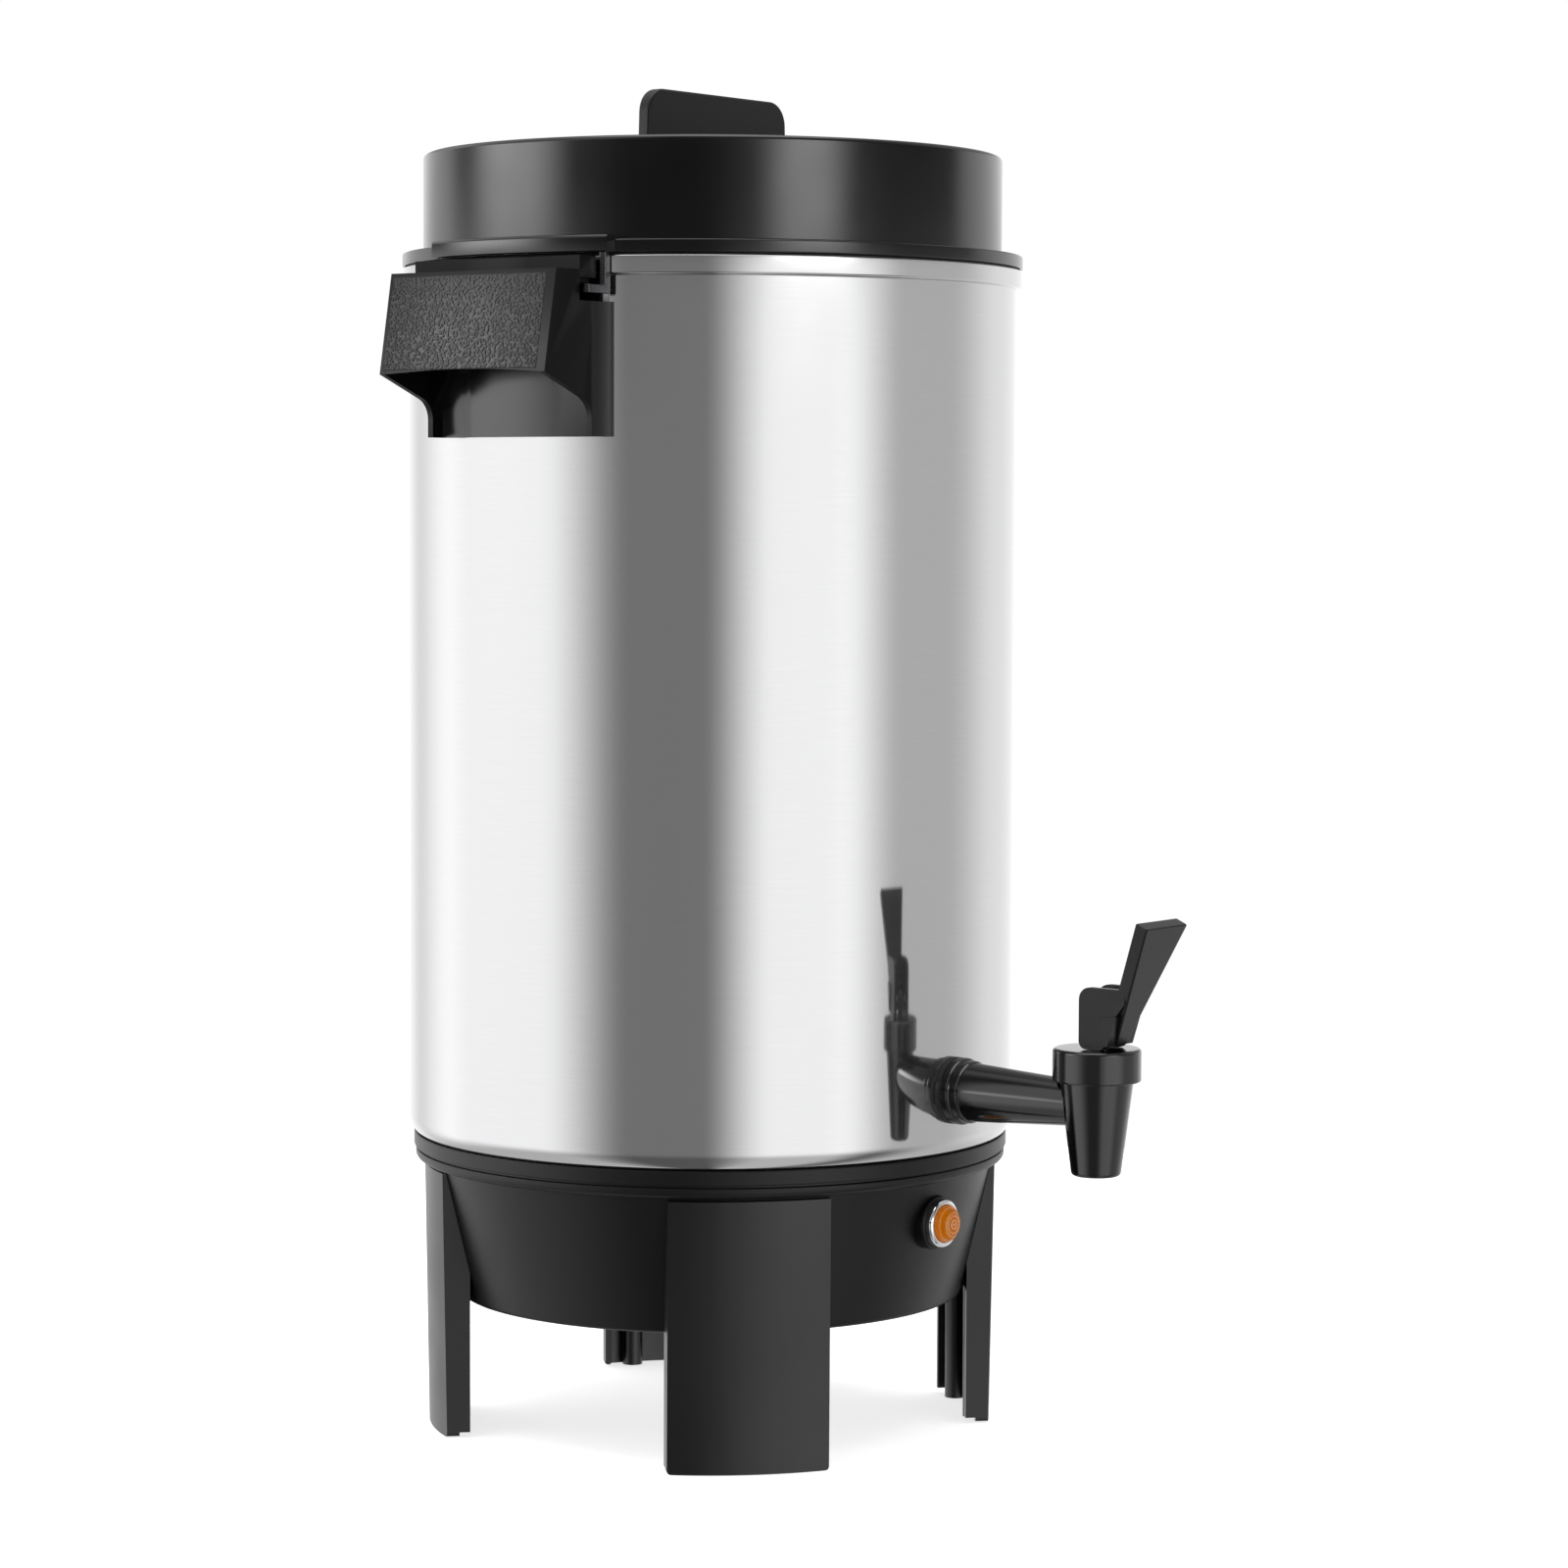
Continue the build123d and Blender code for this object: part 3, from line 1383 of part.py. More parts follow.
LEG_NAMES = ("leg_front_right", "leg_rear_right", "leg_rear_left", "leg_front_left")


def make_parts():
    """Every node of the urn by name."""
    leg = make_leg()
    handle = make_handle()
    parts = {
        "tank": make_tank(),
        "tank_studs": make_tank_studs(),
        "stud_nuts": make_stud_nuts(),
        "base_shell": make_base_shell(),
        "bottom_cover": make_bottom_cover(),
        "bottom_cover_screws": make_bottom_cover_screws(),
        "leg_screws": make_leg_screws(),
        "handle_left": turned(-90, handle),
        "handle_right": turned(90, handle),
        "handle_screws": make_handle_screws(),
        "handle_washers": make_handle_washers(),
        "lid_shell": make_lid_shell(),
        "lid_latches": make_lid_latches(),
        "lid_gasket": make_lid_gasket(),
        "lid_grip": make_lid_grip(),
        "lid_grip_screws": make_lid_grip_screws(),
        "pump_stem": make_pump_stem(),
        "pump_foot": make_pump_foot(),
        "basket": make_basket(),
        "basket_cover": make_basket_cover(),
        "tap_gasket": make_tap_gasket(),
        "tap_body": make_tap_body(),
        "tap_inner_washer": make_tap_inner_washer(),
        "tap_nut": make_tap_nut(),
        "bonnet": make_bonnet(),
        "valve_stem": make_valve_stem(),
        "seat_cup": make_seat_cup(),
        "valve_spring": make_valve_spring(),
        "tap_lever": make_tap_lever(),
        "lever_pin": make_lever_pin(),
        "pilot_bezel": make_pilot_bezel(),
        "pilot_lens": make_pilot_lens(),
        "pilot_housing": make_pilot_housing(),
        "pilot_lamp": make_pilot_lamp(),
        "pilot_nut": make_pilot_nut(),
        "brew_heater": make_brew_heater(),
        "warming_heater": make_warming_heater(),
        "heater_clamp": make_heater_clamp(),
        "thermostat": make_thermostat(),
        "thermal_cutoff": make_thermal_cutoff(),
        "terminal_block": make_terminal_block(),
        "inlet_frame": make_inlet_frame(),
        "power_inlet": make_power_inlet(),
        "inlet_pins": make_inlet_pins(),
        "inlet_screws": make_inlet_screws(),
    }
    for i, name in enumerate(LEG_NAMES):
        parts[name] = turned(leg_azimuth + 90 * i, leg)
    return parts


os.makedirs("parts", exist_ok=True)
for name, shape in make_parts().items():
    export_step(shape, f"parts/{name}.step")
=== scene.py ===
"""Dressed model of an electric percolator coffee urn.

The urn stands on z = 0 with its axis on Z, its tap towards -Y and its handles towards -X and +X.
Lengths in the classes are millimetres, and become metres when a piece's mesh is finished.
"""

import json
import logging
from dataclasses import dataclass
from enum import Enum
from math import cos, pi, radians, sin
from typing import Optional, Sequence

import bmesh
import bpy
from mathutils import Matrix, Vector


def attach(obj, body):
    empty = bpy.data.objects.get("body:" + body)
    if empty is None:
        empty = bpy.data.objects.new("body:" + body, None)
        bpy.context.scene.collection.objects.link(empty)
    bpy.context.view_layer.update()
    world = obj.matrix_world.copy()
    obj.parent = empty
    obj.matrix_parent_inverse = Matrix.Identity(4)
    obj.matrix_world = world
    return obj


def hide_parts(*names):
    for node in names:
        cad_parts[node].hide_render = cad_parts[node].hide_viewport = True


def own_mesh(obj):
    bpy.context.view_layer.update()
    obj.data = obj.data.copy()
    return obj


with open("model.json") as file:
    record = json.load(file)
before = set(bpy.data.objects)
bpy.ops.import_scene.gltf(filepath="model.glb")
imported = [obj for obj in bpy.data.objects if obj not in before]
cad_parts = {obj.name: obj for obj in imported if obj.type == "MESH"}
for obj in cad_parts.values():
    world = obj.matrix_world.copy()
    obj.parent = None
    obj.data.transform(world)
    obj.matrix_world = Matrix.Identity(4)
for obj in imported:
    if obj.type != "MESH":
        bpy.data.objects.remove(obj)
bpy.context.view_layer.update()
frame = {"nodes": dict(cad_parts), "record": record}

log = logging.getLogger("coffee_urn")
Tree = bpy.types.NodeTree
Node = bpy.types.Node
Socket = bpy.types.NodeSocket
MM = 0.001
WELD = 0.003
WHITE = "#ffffff"

# Middle of a noise's range, where most of its values lie.
NOISE_MIDDLE = (0.3, 0.7)

# Folds in degrees: under the first a face is flat, and from the second an edge is drawn sharp.
FLAT = 0.2
CREASE = 32.0

# Flats round a turned piece, by its size.
POT_STEPS = 224
CUP_STEPS = 96
TUBE_STEPS = 64
BORE_STEPS = 48
PIN_STEPS = 32

# Arcs that moulds and dies leave on edges, in millimetres.
CRISP = 0.4
EASED = 0.6
SOFT = 0.8
ROUND = 1.2


class Body(str, Enum):
    """Moving groups of the urn."""

    URN = "urn"
    PUMP = "pump"
    BASKET = "basket"
    BASKET_COVER = "basket_cover"
    LID_SEAL = "lid_seal"
    LID = "lid"
    VALVE = "valve"
    LEVER = "lever"


class Join(str, Enum):
    """What a second shell does to the first."""

    CUT = "DIFFERENCE"
    FUSE = "UNION"
    TRIM = "INTERSECT"


# ---------------------------------------------------------------- shader nodes
def linear(code: str) -> tuple[float, float, float, float]:
    """Turn an sRGB hex colour to the linear values that shaders take.

    Args:
        code: Colour as "#rrggbb".

    Returns:
        Linear red, green, blue and a full opacity.
    """
    shares = [int(code[i : i + 2], 16) / 255 for i in (1, 3, 5)]
    bent = [c / 12.92 if c <= 0.04045 else ((c + 0.055) / 1.055) ** 2.4 for c in shares]
    return bent[0], bent[1], bent[2], 1.0


def add_node(
    tree: Tree, kind: str, links: Optional[dict] = None, inputs: Optional[dict] = None, **settings: object
) -> Node:
    """Add one shader node with its settings and links.

    Args:
        tree: Node tree the node goes in.
        kind: Blender's name of the node type, less its "ShaderNode".
        links: Input socket to what feeds it: an output socket, or a node for its first one.
        inputs: Input socket to the value it holds.
        settings: Properties of the node itself.

    Returns:
        The new node.
    """
    node = tree.nodes.new("ShaderNode" + kind)
    for key, value in settings.items():
        setattr(node, key, value)
    for key, value in (inputs or {}).items():
        node.inputs[key].default_value = value
    for key, source in (links or {}).items():
        tree.links.new(source.outputs[0] if isinstance(source, Node) else source, node.inputs[key])
    return node


def waves(size_mm: float, detail: float = 2.0) -> dict[str, float]:
    """Noise inputs for waves about one size apart, with some octaves of finer noise."""
    return {"Scale": 1 / (size_mm * MM), "Detail": detail, "Roughness": 0.6}


def between(first: float, last: float, low: float = 0.0, high: float = 1.0) -> dict[str, float]:
    """Range inputs that turn the first value to low and the last to high."""
    return {"From Min": first, "From Max": last, "To Min": low, "To Max": high}


# ---------------------------------------------------------------- finishes
@dataclass(frozen=True)
class Finish:
    """A material named for the real finish it stands for.

    Attributes:
        name: Common name of the material and how its surface was made.
        colour: Colour as an sRGB hex code.
        roughness: Middle of the roughness range.
        metallic: 1 for bare metal, 0 for the rest.
        shine: Specular level of the bare surface.
    """

    name: str
    colour: str
    roughness: float
    metallic: float = 0.0
    shine: float = 0.5

    def build(self) -> bpy.types.Material:
        """Make the Blender material, or give back the one already made.

        Returns:
            The material.
        """
        known = bpy.data.materials.get(self.name)
        if known is not None:
            return known
        material = bpy.data.materials.new(self.name)
        material.use_nodes = True
        tree = material.node_tree
        tree.nodes.clear()
        values = {"Base Color": linear(self.colour), "Roughness": self.roughness, "Metallic": self.metallic}
        values["Specular IOR Level"] = self.shine
        shader = add_node(tree, "BsdfPrincipled", inputs=values)
        self.dress(tree, shader)
        add_node(tree, "OutputMaterial", {"Surface": self.surface(tree, shader)})
        material.diffuse_color = linear(self.colour)
        return material

    def dress(self, tree: Tree, shader: Node) -> None:
        """Add the surface detail to the material's principled shader."""

    def surface(self, tree: Tree, shader: Node) -> Node:
        """Node that goes to the material's output."""
        return shader

    def two_tone(self, tree: Tree, shader: Node, share: Node, first: str, second: str) -> None:
        """Let the colour drift between two hex colours.

        Args:
            tree: Material's node tree.
            shader: Shader that takes the colour.
            share: Share of the second colour.
            first: Colour at share 0.
            second: Colour at share 1.
        """
        ramp = add_node(tree, "ValToRGB", {"Fac": share})
        ramp.color_ramp.elements[0].color = linear(first)
        ramp.color_ramp.elements[1].color = linear(second)
        tree.links.new(ramp.outputs["Color"], shader.inputs["Base Color"])

    def uneven(self, tree: Tree, shader: Node, noise: Node, swing: float) -> None:
        """Let the roughness swing about its middle.

        Args:
            tree: Material's node tree.
            shader: Shader that takes the roughness.
            noise: Noise that it follows.
            swing: Most that it moves each way.
        """
        ends = between(*NOISE_MIDDLE, self.roughness - swing, self.roughness + swing)
        gloss = add_node(tree, "MapRange", {"Value": noise}, ends)
        tree.links.new(gloss.outputs["Result"], shader.inputs["Roughness"])

    def emboss(self, tree: Tree, shader: Node, height: Node, depth_mm: float) -> None:
        """Raise a relief on the surface.

        Args:
            tree: Material's node tree.
            shader: Shader that takes the relief.
            height: Height of the surface, between 0 and 1.
            depth_mm: Depth of the relief.
        """
        bump = add_node(tree, "Bump", {"Height": height}, {"Strength": 1.0, "Distance": depth_mm * MM})
        tree.links.new(bump.outputs["Normal"], shader.inputs["Normal"])


@dataclass(frozen=True)
class MouldedPlastic(Finish):
    """Injection-moulded plastic with the fine spark-eroded grain of its mould.

    The grain is about 0.15 mm across in life, and is drawn wider here so that it shows.

    Attributes:
        light: Colour on the grain's tops.
        grain_mm: Spacing of the grain.
        depth_mm: Its depth.
        smudge: Swing of the roughness where hands have been.
        marks_mm: Spacing of those marks.
    """

    light: str = "#303031"
    grain_mm: float = 0.5
    depth_mm: float = 0.02
    smudge: float = 0.04
    marks_mm: float = 60.0

    def dress(self, tree: Tree, shader: Node) -> None:
        """Fine grain in the relief and the tone, and handling marks in the gloss.

        Args:
            tree: Material's node tree.
            shader: Its principled shader.
        """
        place = add_node(tree, "TexCoord").outputs["Object"]
        grain = add_node(tree, "TexNoise", {"Vector": place}, waves(self.grain_mm))
        marks = add_node(tree, "TexNoise", {"Vector": place}, waves(self.marks_mm))
        self.two_tone(tree, shader, grain, self.colour, self.light)
        self.uneven(tree, shader, marks, self.smudge)
        self.emboss(tree, shader, grain, self.depth_mm)


@dataclass(frozen=True)
class LeatherGrainPlastic(MouldedPlastic):
    """Moulded plastic with a leather grain on a panel inside a smooth border.

    Attributes:
        pebble_mm: Size of one pebble of the grain.
        dome: Squared distance at which a pebble ends, and its height in the middle.
        fine: Share of the fine grain in the height.
        span: Ends of the grained panel along the handle.
        low: Lower end of the grained panel.
        high: Upper end of the grained panel.
        reach: Least distance from the urn's middle plane that carries grain.
        border: Width over which the panel rises from its border.
        front: Reach of the front plate at height 0, in its slope's direction.
        slope: Reach the front plate loses for each millimetre of height.
        seat: Distances from the axis between which the polish near the pot fades out.
        satin: Roughness, specular level and grain depth of the faces that aren't polished.
        worn: Half length and height of the patch that hands have polished, and how
            high it is centred.
        core: Share of the patch that has the full polish.
        fresh: Share of that polish on the rest of the panel, and on its border.
    """

    pebble_mm: float = 1.15
    dome: tuple[float, float] = (0.3, 0.8)
    fine: float = 0.2
    span: tuple[float, float] = (-41.6, 38.6)
    low: float = 438.4
    high: float = 475.6
    reach: float = 149.5
    border: float = 0.5
    front: float = 233.6
    slope: float = 0.175
    seat: tuple[float, float] = (130.5, 138.0)
    satin: tuple[float, float, float] = (0.45, 0.12, 0.02)
    worn: tuple[float, float, float] = (50.0, 70.0, 446.0)
    core: float = 0.25
    fresh: tuple[float, float] = (0.4, 0.35)

    def dress(self, tree: Tree, shader: Node) -> None:
        """Pebbles with creases between them, kept to the panel in the relief; over the whole handle the
        colour paints a highlight on each pebble's top and shade in the creases.

        Args:
            tree: Material's node tree.
            shader: Its principled shader.
        """
        place = add_node(tree, "TexCoord").outputs["Object"]
        size = {"Scale": 1 / (self.pebble_mm * MM)}
        pebbles = add_node(tree, "TexVoronoi", {"Vector": place}, size, feature="SMOOTH_F1")
        squared = add_node(tree, "Math", {0: pebbles, 1: pebbles}, operation="MULTIPLY")
        dome = add_node(tree, "MapRange", {"Value": squared}, between(0.0, *self.dome, 0.0))
        grain = add_node(tree, "TexNoise", {"Vector": place}, waves(self.grain_mm))
        marks = add_node(tree, "TexNoise", {"Vector": place}, waves(self.marks_mm))
        rough = add_node(tree, "Math", {0: grain, 2: dome}, {1: self.fine}, operation="MULTIPLY_ADD")
        height = add_node(tree, "Math", {0: rough, 1: self.panel(tree, place)}, operation="MULTIPLY")
        # Painted highlight and shade: lighter on each pebble's top, darker in the creases.
        self.two_tone(tree, shader, dome, self.colour, self.light)
        self.uneven(tree, shader, marks, self.smudge)
        self.emboss(tree, shader, height, self.depth_mm)

    def surface(self, tree: Tree, shader: Node) -> Node:
        """Polish on the front plate and near the pot, and a duller satin on the other faces.

        Args:
            tree: Material's node tree.
            shader: Its polished shader.

        Returns:
            The mix of the two.
        """
        place = add_node(tree, "TexCoord").outputs["Object"]
        axes = add_node(tree, "SeparateXYZ", {"Vector": place}).outputs
        out = add_node(tree, "Math", {0: axes["X"]}, operation="ABSOLUTE")
        slant = add_node(tree, "Math", {0: axes["Z"], 2: out}, {1: self.slope}, operation="MULTIPLY_ADD")
        ends = between(self.front * MM, (self.front + self.border) * MM)
        front = add_node(tree, "MapRange", {"Value": slant}, ends)
        held = add_node(tree, "Math", {0: front, 1: self.handling(tree, place)}, operation="MULTIPLY")
        plan = add_node(tree, "CombineXYZ", {"X": axes["X"], "Y": axes["Y"]})
        away = add_node(tree, "VectorMath", {0: plan}, operation="LENGTH").outputs["Value"]
        ends = between(self.seat[0] * MM, self.seat[1] * MM, 1.0, 0.0)
        near = add_node(tree, "MapRange", {"Value": away}, ends)
        polish = add_node(tree, "Math", {0: held, 1: near}, operation="MAXIMUM")
        roughness, shine, depth_mm = self.satin
        values = {"Base Color": linear(self.colour), "Roughness": roughness, "Specular IOR Level": shine}
        dull = add_node(tree, "BsdfPrincipled", inputs=values)
        grain = add_node(tree, "TexNoise", {"Vector": place}, waves(self.grain_mm))
        self.emboss(tree, dull, grain, depth_mm)
        return add_node(tree, "MixShader", {0: polish, 1: dull, 2: shader})

    def handling(self, tree: Tree, place: Socket) -> Node:
        """Polish from hands: most in the middle of the panel, less at its ends and on its border.

        Args:
            tree: Material's node tree.
            place: Object coordinates.

        Returns:
            Share of the polish.
        """
        half, tall, centre = self.worn
        axes = add_node(tree, "SeparateXYZ", {"Vector": place}).outputs
        along = add_node(tree, "Math", {0: axes["Y"]}, {1: half * MM}, operation="DIVIDE")
        above = add_node(tree, "Math", {0: axes["Z"]}, {1: centre * MM}, operation="SUBTRACT")
        above = add_node(tree, "Math", {0: above}, {1: tall * MM}, operation="DIVIDE")
        spot = add_node(tree, "CombineXYZ", {"X": along, "Y": above})
        away = add_node(tree, "VectorMath", {0: spot}, operation="LENGTH").outputs["Value"]
        wear = add_node(tree, "MapRange", {"Value": away}, between(self.core, 1.0, 1.0, self.fresh[0]))
        ends = between(0.0, 1.0, self.fresh[1], 1.0)
        inside = add_node(tree, "MapRange", {"Value": self.panel(tree, place)}, ends)
        return add_node(tree, "Math", {0: wear, 1: inside}, operation="MULTIPLY")

    def panel(self, tree: Tree, place: Socket) -> Node:
        """1 on the grained panel and 0 on its border and the other faces.

        Args:
            tree: Material's node tree.
            place: Object coordinates.

        Returns:
            The mask.
        """
        axes = add_node(tree, "SeparateXYZ", {"Vector": place}).outputs
        side = add_node(tree, "Math", {0: axes["X"]}, operation="SIGN")
        aside = add_node(tree, "Math", {0: axes["Y"], 1: side}, operation="MULTIPLY")
        out = add_node(tree, "Math", {0: axes["X"]}, operation="ABSOLUTE")
        near, far = self.span
        tests = (
            (aside, near, near + self.border),
            (aside, far, far - self.border),
            (axes["Z"], self.low, self.low + self.border),
            (axes["Z"], self.high, self.high - self.border),
            (out, self.reach - self.border, self.reach),
        )
        inside = None
        for value, off, on in tests:
            passed = add_node(tree, "MapRange", {"Value": value}, between(off * MM, on * MM))
            if inside is not None:
                passed = add_node(tree, "Math", {0: inside, 1: passed}, operation="MINIMUM")
            inside = passed
        return inside


@dataclass(frozen=True)
class SpunMetal(Finish):
    """Bare metal turned on a lathe, with fine lines round the axis.

    Attributes:
        dark: Colour in the lines.
        line_mm: Spacing of the turning lines, drawn wider than life so that they show.
        depth_mm: Their depth.
        octaves: Octaves of finer lines between them.
        radius_mm: Radius at which their length holds.
        stretch: How much longer than wide a line's marks are.
        drift: Swing of the roughness.
        cloud_mm: Spacing of that swing.
        pull: Anisotropy of the shine, across the lines.
        haze: Share of the light that scatters wide, as on a satin surface.
        haze_roughness: Roughness of that share.
    """

    dark: str = "#c9c9c9"
    line_mm: float = 0.35
    depth_mm: float = 0.002
    octaves: float = 3.0
    radius_mm: float = 127.0
    stretch: float = 60.0
    drift: float = 0.03
    cloud_mm: float = 45.0
    pull: float = 0.35
    haze: float = 0.0
    haze_roughness: float = 0.45

    def dress(self, tree: Tree, shader: Node) -> None:
        """Lines that run round the axis, in the relief and the tone, and clouds in the gloss.

        Args:
            tree: Material's node tree.
            shader: Its principled shader.
        """
        place = add_node(tree, "TexCoord").outputs["Object"]
        axes = add_node(tree, "SeparateXYZ", {"Vector": place}).outputs
        turn = add_node(tree, "Math", {0: axes["Y"], 1: axes["X"]}, operation="ARCTAN2")
        arc = {1: self.radius_mm * MM / self.stretch}
        along = add_node(tree, "Math", {0: turn}, arc, operation="MULTIPLY")
        rolled = add_node(tree, "CombineXYZ", {"X": along, "Z": axes["Z"]})
        lines = add_node(tree, "TexNoise", {"Vector": rolled}, waves(self.line_mm, self.octaves))
        clouds = add_node(tree, "TexNoise", {"Vector": place}, waves(self.cloud_mm))
        shader.inputs["Anisotropic"].default_value = self.pull
        tangent = add_node(tree, "Tangent", direction_type="RADIAL", axis="Z")
        tree.links.new(tangent.outputs[0], shader.inputs["Tangent"])
        self.two_tone(tree, shader, lines, self.dark, self.colour)
        self.uneven(tree, shader, clouds, self.drift)
        self.emboss(tree, shader, lines, self.depth_mm)

    def surface(self, tree: Tree, shader: Node) -> Node:
        """The polish with a little haze over it.

        Args:
            tree: Material's node tree.
            shader: Its polished shader.

        Returns:
            The mix of the two.
        """
        values = {"Base Color": linear(self.colour), "Metallic": self.metallic}
        values["Roughness"] = self.haze_roughness
        haze = add_node(tree, "BsdfPrincipled", inputs=values)
        return add_node(tree, "MixShader", {1: shader, 2: haze}, {0: self.haze})


@dataclass(frozen=True)
class PlainMetal(Finish):
    """Stamped, drawn or plated metal with a slightly uneven shine.

    Attributes:
        dark: Colour in the clouds.
        grain_mm: Spacing of the clouds.
        drift: Swing of the roughness.
    """

    dark: str = "#8f8f90"
    grain_mm: float = 1.2
    drift: float = 0.06

    def dress(self, tree: Tree, shader: Node) -> None:
        """Clouds in the tone and the gloss.

        Args:
            tree: Material's node tree.
            shader: Its principled shader.
        """
        place = add_node(tree, "TexCoord").outputs["Object"]
        grain = add_node(tree, "TexNoise", {"Vector": place}, waves(self.grain_mm))
        self.two_tone(tree, shader, grain, self.dark, self.colour)
        self.uneven(tree, shader, grain, self.drift)


@dataclass(frozen=True)
class TintedAcrylic(Finish):
    """Clear moulded acrylic coloured right through, with painted shade in its ring grooves and a faint
    painted glow.

    Attributes:
        dark: Colour of the painted shade in the ring grooves.
        through: Share of the light that passes.
        glow: Strength of the painted glow, an emission though the part is not lit.
        centre_z: Height of the axis that its rings run round, in millimetres.
        ring_mm: Spacing of the rings.
        ring_depth_mm: Their depth.
        cloud_mm: Spacing of the clouds in the colour.
        bend: Refractive index.
    """

    dark: str = "#a85a10"
    through: float = 0.45
    glow: float = 0.12
    centre_z: float = 94.3
    ring_mm: float = 1.7
    ring_depth_mm: float = 0.25
    cloud_mm: float = 3.0
    bend: float = 1.49

    def dress(self, tree: Tree, shader: Node) -> None:
        """Moulded rings, with painted shade in the grooves between them, mottled by random clouds, and a
        painted glow.

        Args:
            tree: Material's node tree.
            shader: Its principled shader.
        """
        place = add_node(tree, "TexCoord").outputs["Object"]
        centre = {1: (0.0, 0.0, -self.centre_z * MM)}
        centred = add_node(tree, "VectorMath", {0: place}, centre, operation="ADD")
        across = add_node(tree, "VectorMath", {0: centred}, {1: (1.0, 0.0, 1.0)}, operation="MULTIPLY")
        away = add_node(tree, "VectorMath", {0: across}, operation="LENGTH").outputs["Value"]
        turns = add_node(tree, "Math", {0: away}, {1: 2 * pi / (self.ring_mm * MM)}, operation="MULTIPLY")
        wave = add_node(tree, "Math", {0: turns}, operation="COSINE")
        rings = add_node(tree, "MapRange", {"Value": wave}, between(-1.0, 1.0))
        clouds = add_node(tree, "TexNoise", {"Vector": place}, waves(self.cloud_mm))
        # Painted shade: the ring grooves are darkest, and random clouds mottle the rest.
        depth = add_node(tree, "Math", {0: rings, 1: clouds}, operation="MULTIPLY")
        self.two_tone(tree, shader, depth, self.dark, self.colour)
        self.emboss(tree, shader, rings, self.ring_depth_mm)
        shader.inputs["IOR"].default_value = self.bend
        shader.inputs["Transmission Weight"].default_value = self.through
        # Painted glow: an emission in the lens's own colour, though nothing lights it.
        shader.inputs["Emission Color"].default_value = linear(self.colour)
        shader.inputs["Emission Strength"].default_value = self.glow


# Buffed stainless steel: mirrors the room in tall bands, under a thin haze.
STEEL = SpunMetal(
    "Stainless steel, satin polished", "#c8c8c9", 0.055, 1.0, dark="#c0c0c1", drift=0.012, pull=0.0, haze=0.08
)
# Polypropylene off a sparked mould: an even, dull black with a fine tooth.
SHELL = MouldedPlastic(
    "Polypropylene, fine spark grain", "#030304", 0.4, shine=0.3, light="#0e0e0f", depth_mm=0.035
)
# Compression-moulded phenolic: a satin black with soft highlights.
LEG = MouldedPlastic("Phenolic moulding, satin", "#040405", 0.36, light="#070708", depth_mm=0.008)
# Polypropylene off a polished mould: broad, clear bands of light round the lid.
LID = MouldedPlastic("Polypropylene, satin lid", "#030304", 0.17, light="#060607", depth_mm=0.003)
# Phenolic with an etched leather grain: pebbles that glint where hands have polished them, with painted
# highlights on their tops and painted shade in the creases.
GRIP = LeatherGrainPlastic(
    "Phenolic moulding, leather grain", "#040405", 0.22, shine=0.62, light="#0e0e0f", depth_mm=0.5
)
# Polysulfone off a polished mould: a glossy black with narrow streaks of light.
TAP = MouldedPlastic(
    "Polysulfone tap, glossy moulding", "#040405", 0.15, shine=0.66, light="#060607", depth_mm=0.002,
    smudge=0.03,
)
# Nylon off a sparked mould: greyer and flatter than the tap.
LEVER = MouldedPlastic("Nylon lever, fine spark grain", "#0d0d0e", 0.34, shine=0.27, light="#141415")
# Plated brass: a bright, hard mirror.
CHROME = PlainMetal("Chrome plate on brass", "#e6e7e8", 0.08, 1.0, dark="#d8d9da", drift=0.03)
# Amber acrylic with moulded rings: clear edges, a deeper orange painted as shade in the ring grooves, and a
# faint painted glow.
AMBER = TintedAcrylic("Acrylic, amber moulded", "#ffa414", 0.09, dark="#c46d0e", glow=0.1)
# Moulded silicone: a soft grey-black that hardly shines.
SILICONE = MouldedPlastic("Silicone rubber, moulded", "#141415", 0.55, light="#1c1c1d", depth_mm=0.01)
# Zinc plate: a mottled, cool grey.
ZINC = PlainMetal("Zinc-plated steel", "#b4b5b8", 0.3, 1.0)
# Blackened pressed steel: a dark metal with a dull shine.
HOOK = PlainMetal("Pressed steel hook, blackened", "#59595b", 0.3, 1.0, dark="#434345")
# Spun aluminium: lines round the axis that stretch the highlight.
ALUMINIUM = SpunMetal("Aluminium, spun satin", "#d3d5d8", 0.3, 1.0, dark="#c2c4c7")
# Nickel alloy dulled by heat: brown clouds on grey metal.
SHEATH = PlainMetal("Nickel-alloy sheath, heat dulled", "#8b857e", 0.4, 1.0, dark="#5e574f")
# Rolled brass: yellow with a light stain.
BRASS = PlainMetal("Brass, cold rolled", "#c9a459", 0.25, 1.0, dark="#a8843f")
# Brown phenolic: the matt body of a control.
PHENOLIC = MouldedPlastic("Phenolic controls, brown", "#6b4a24", 0.45, light="#7d5a30")
# Lamp glass: nearly smooth, and slightly warm, with faint painted shade in its ring grooves and a faint
# painted glow.
GLASS = TintedAcrylic(
    "Lamp glass, clear", "#f2e2cc", 0.05, dark="#e8d4b8", through=0.85, glow=0.05, ring_depth_mm=0.01
)

SLOT_FINISH = {
    "polished_steel": STEEL,
    "black_plastic": SHELL,
    "grained_plastic": GRIP,
    "lid_plastic": LID,
    "tap_plastic": TAP,
    "chrome_trim": CHROME,
    "amber_lens": AMBER,
    "seal_rubber": SILICONE,
    "steel_hardware": ZINC,
    "percolator_aluminium": ALUMINIUM,
    "heater_sheath": SHEATH,
    "brass_contact": BRASS,
    "control_plastic": PHENOLIC,
    "lamp_glass": GLASS,
}


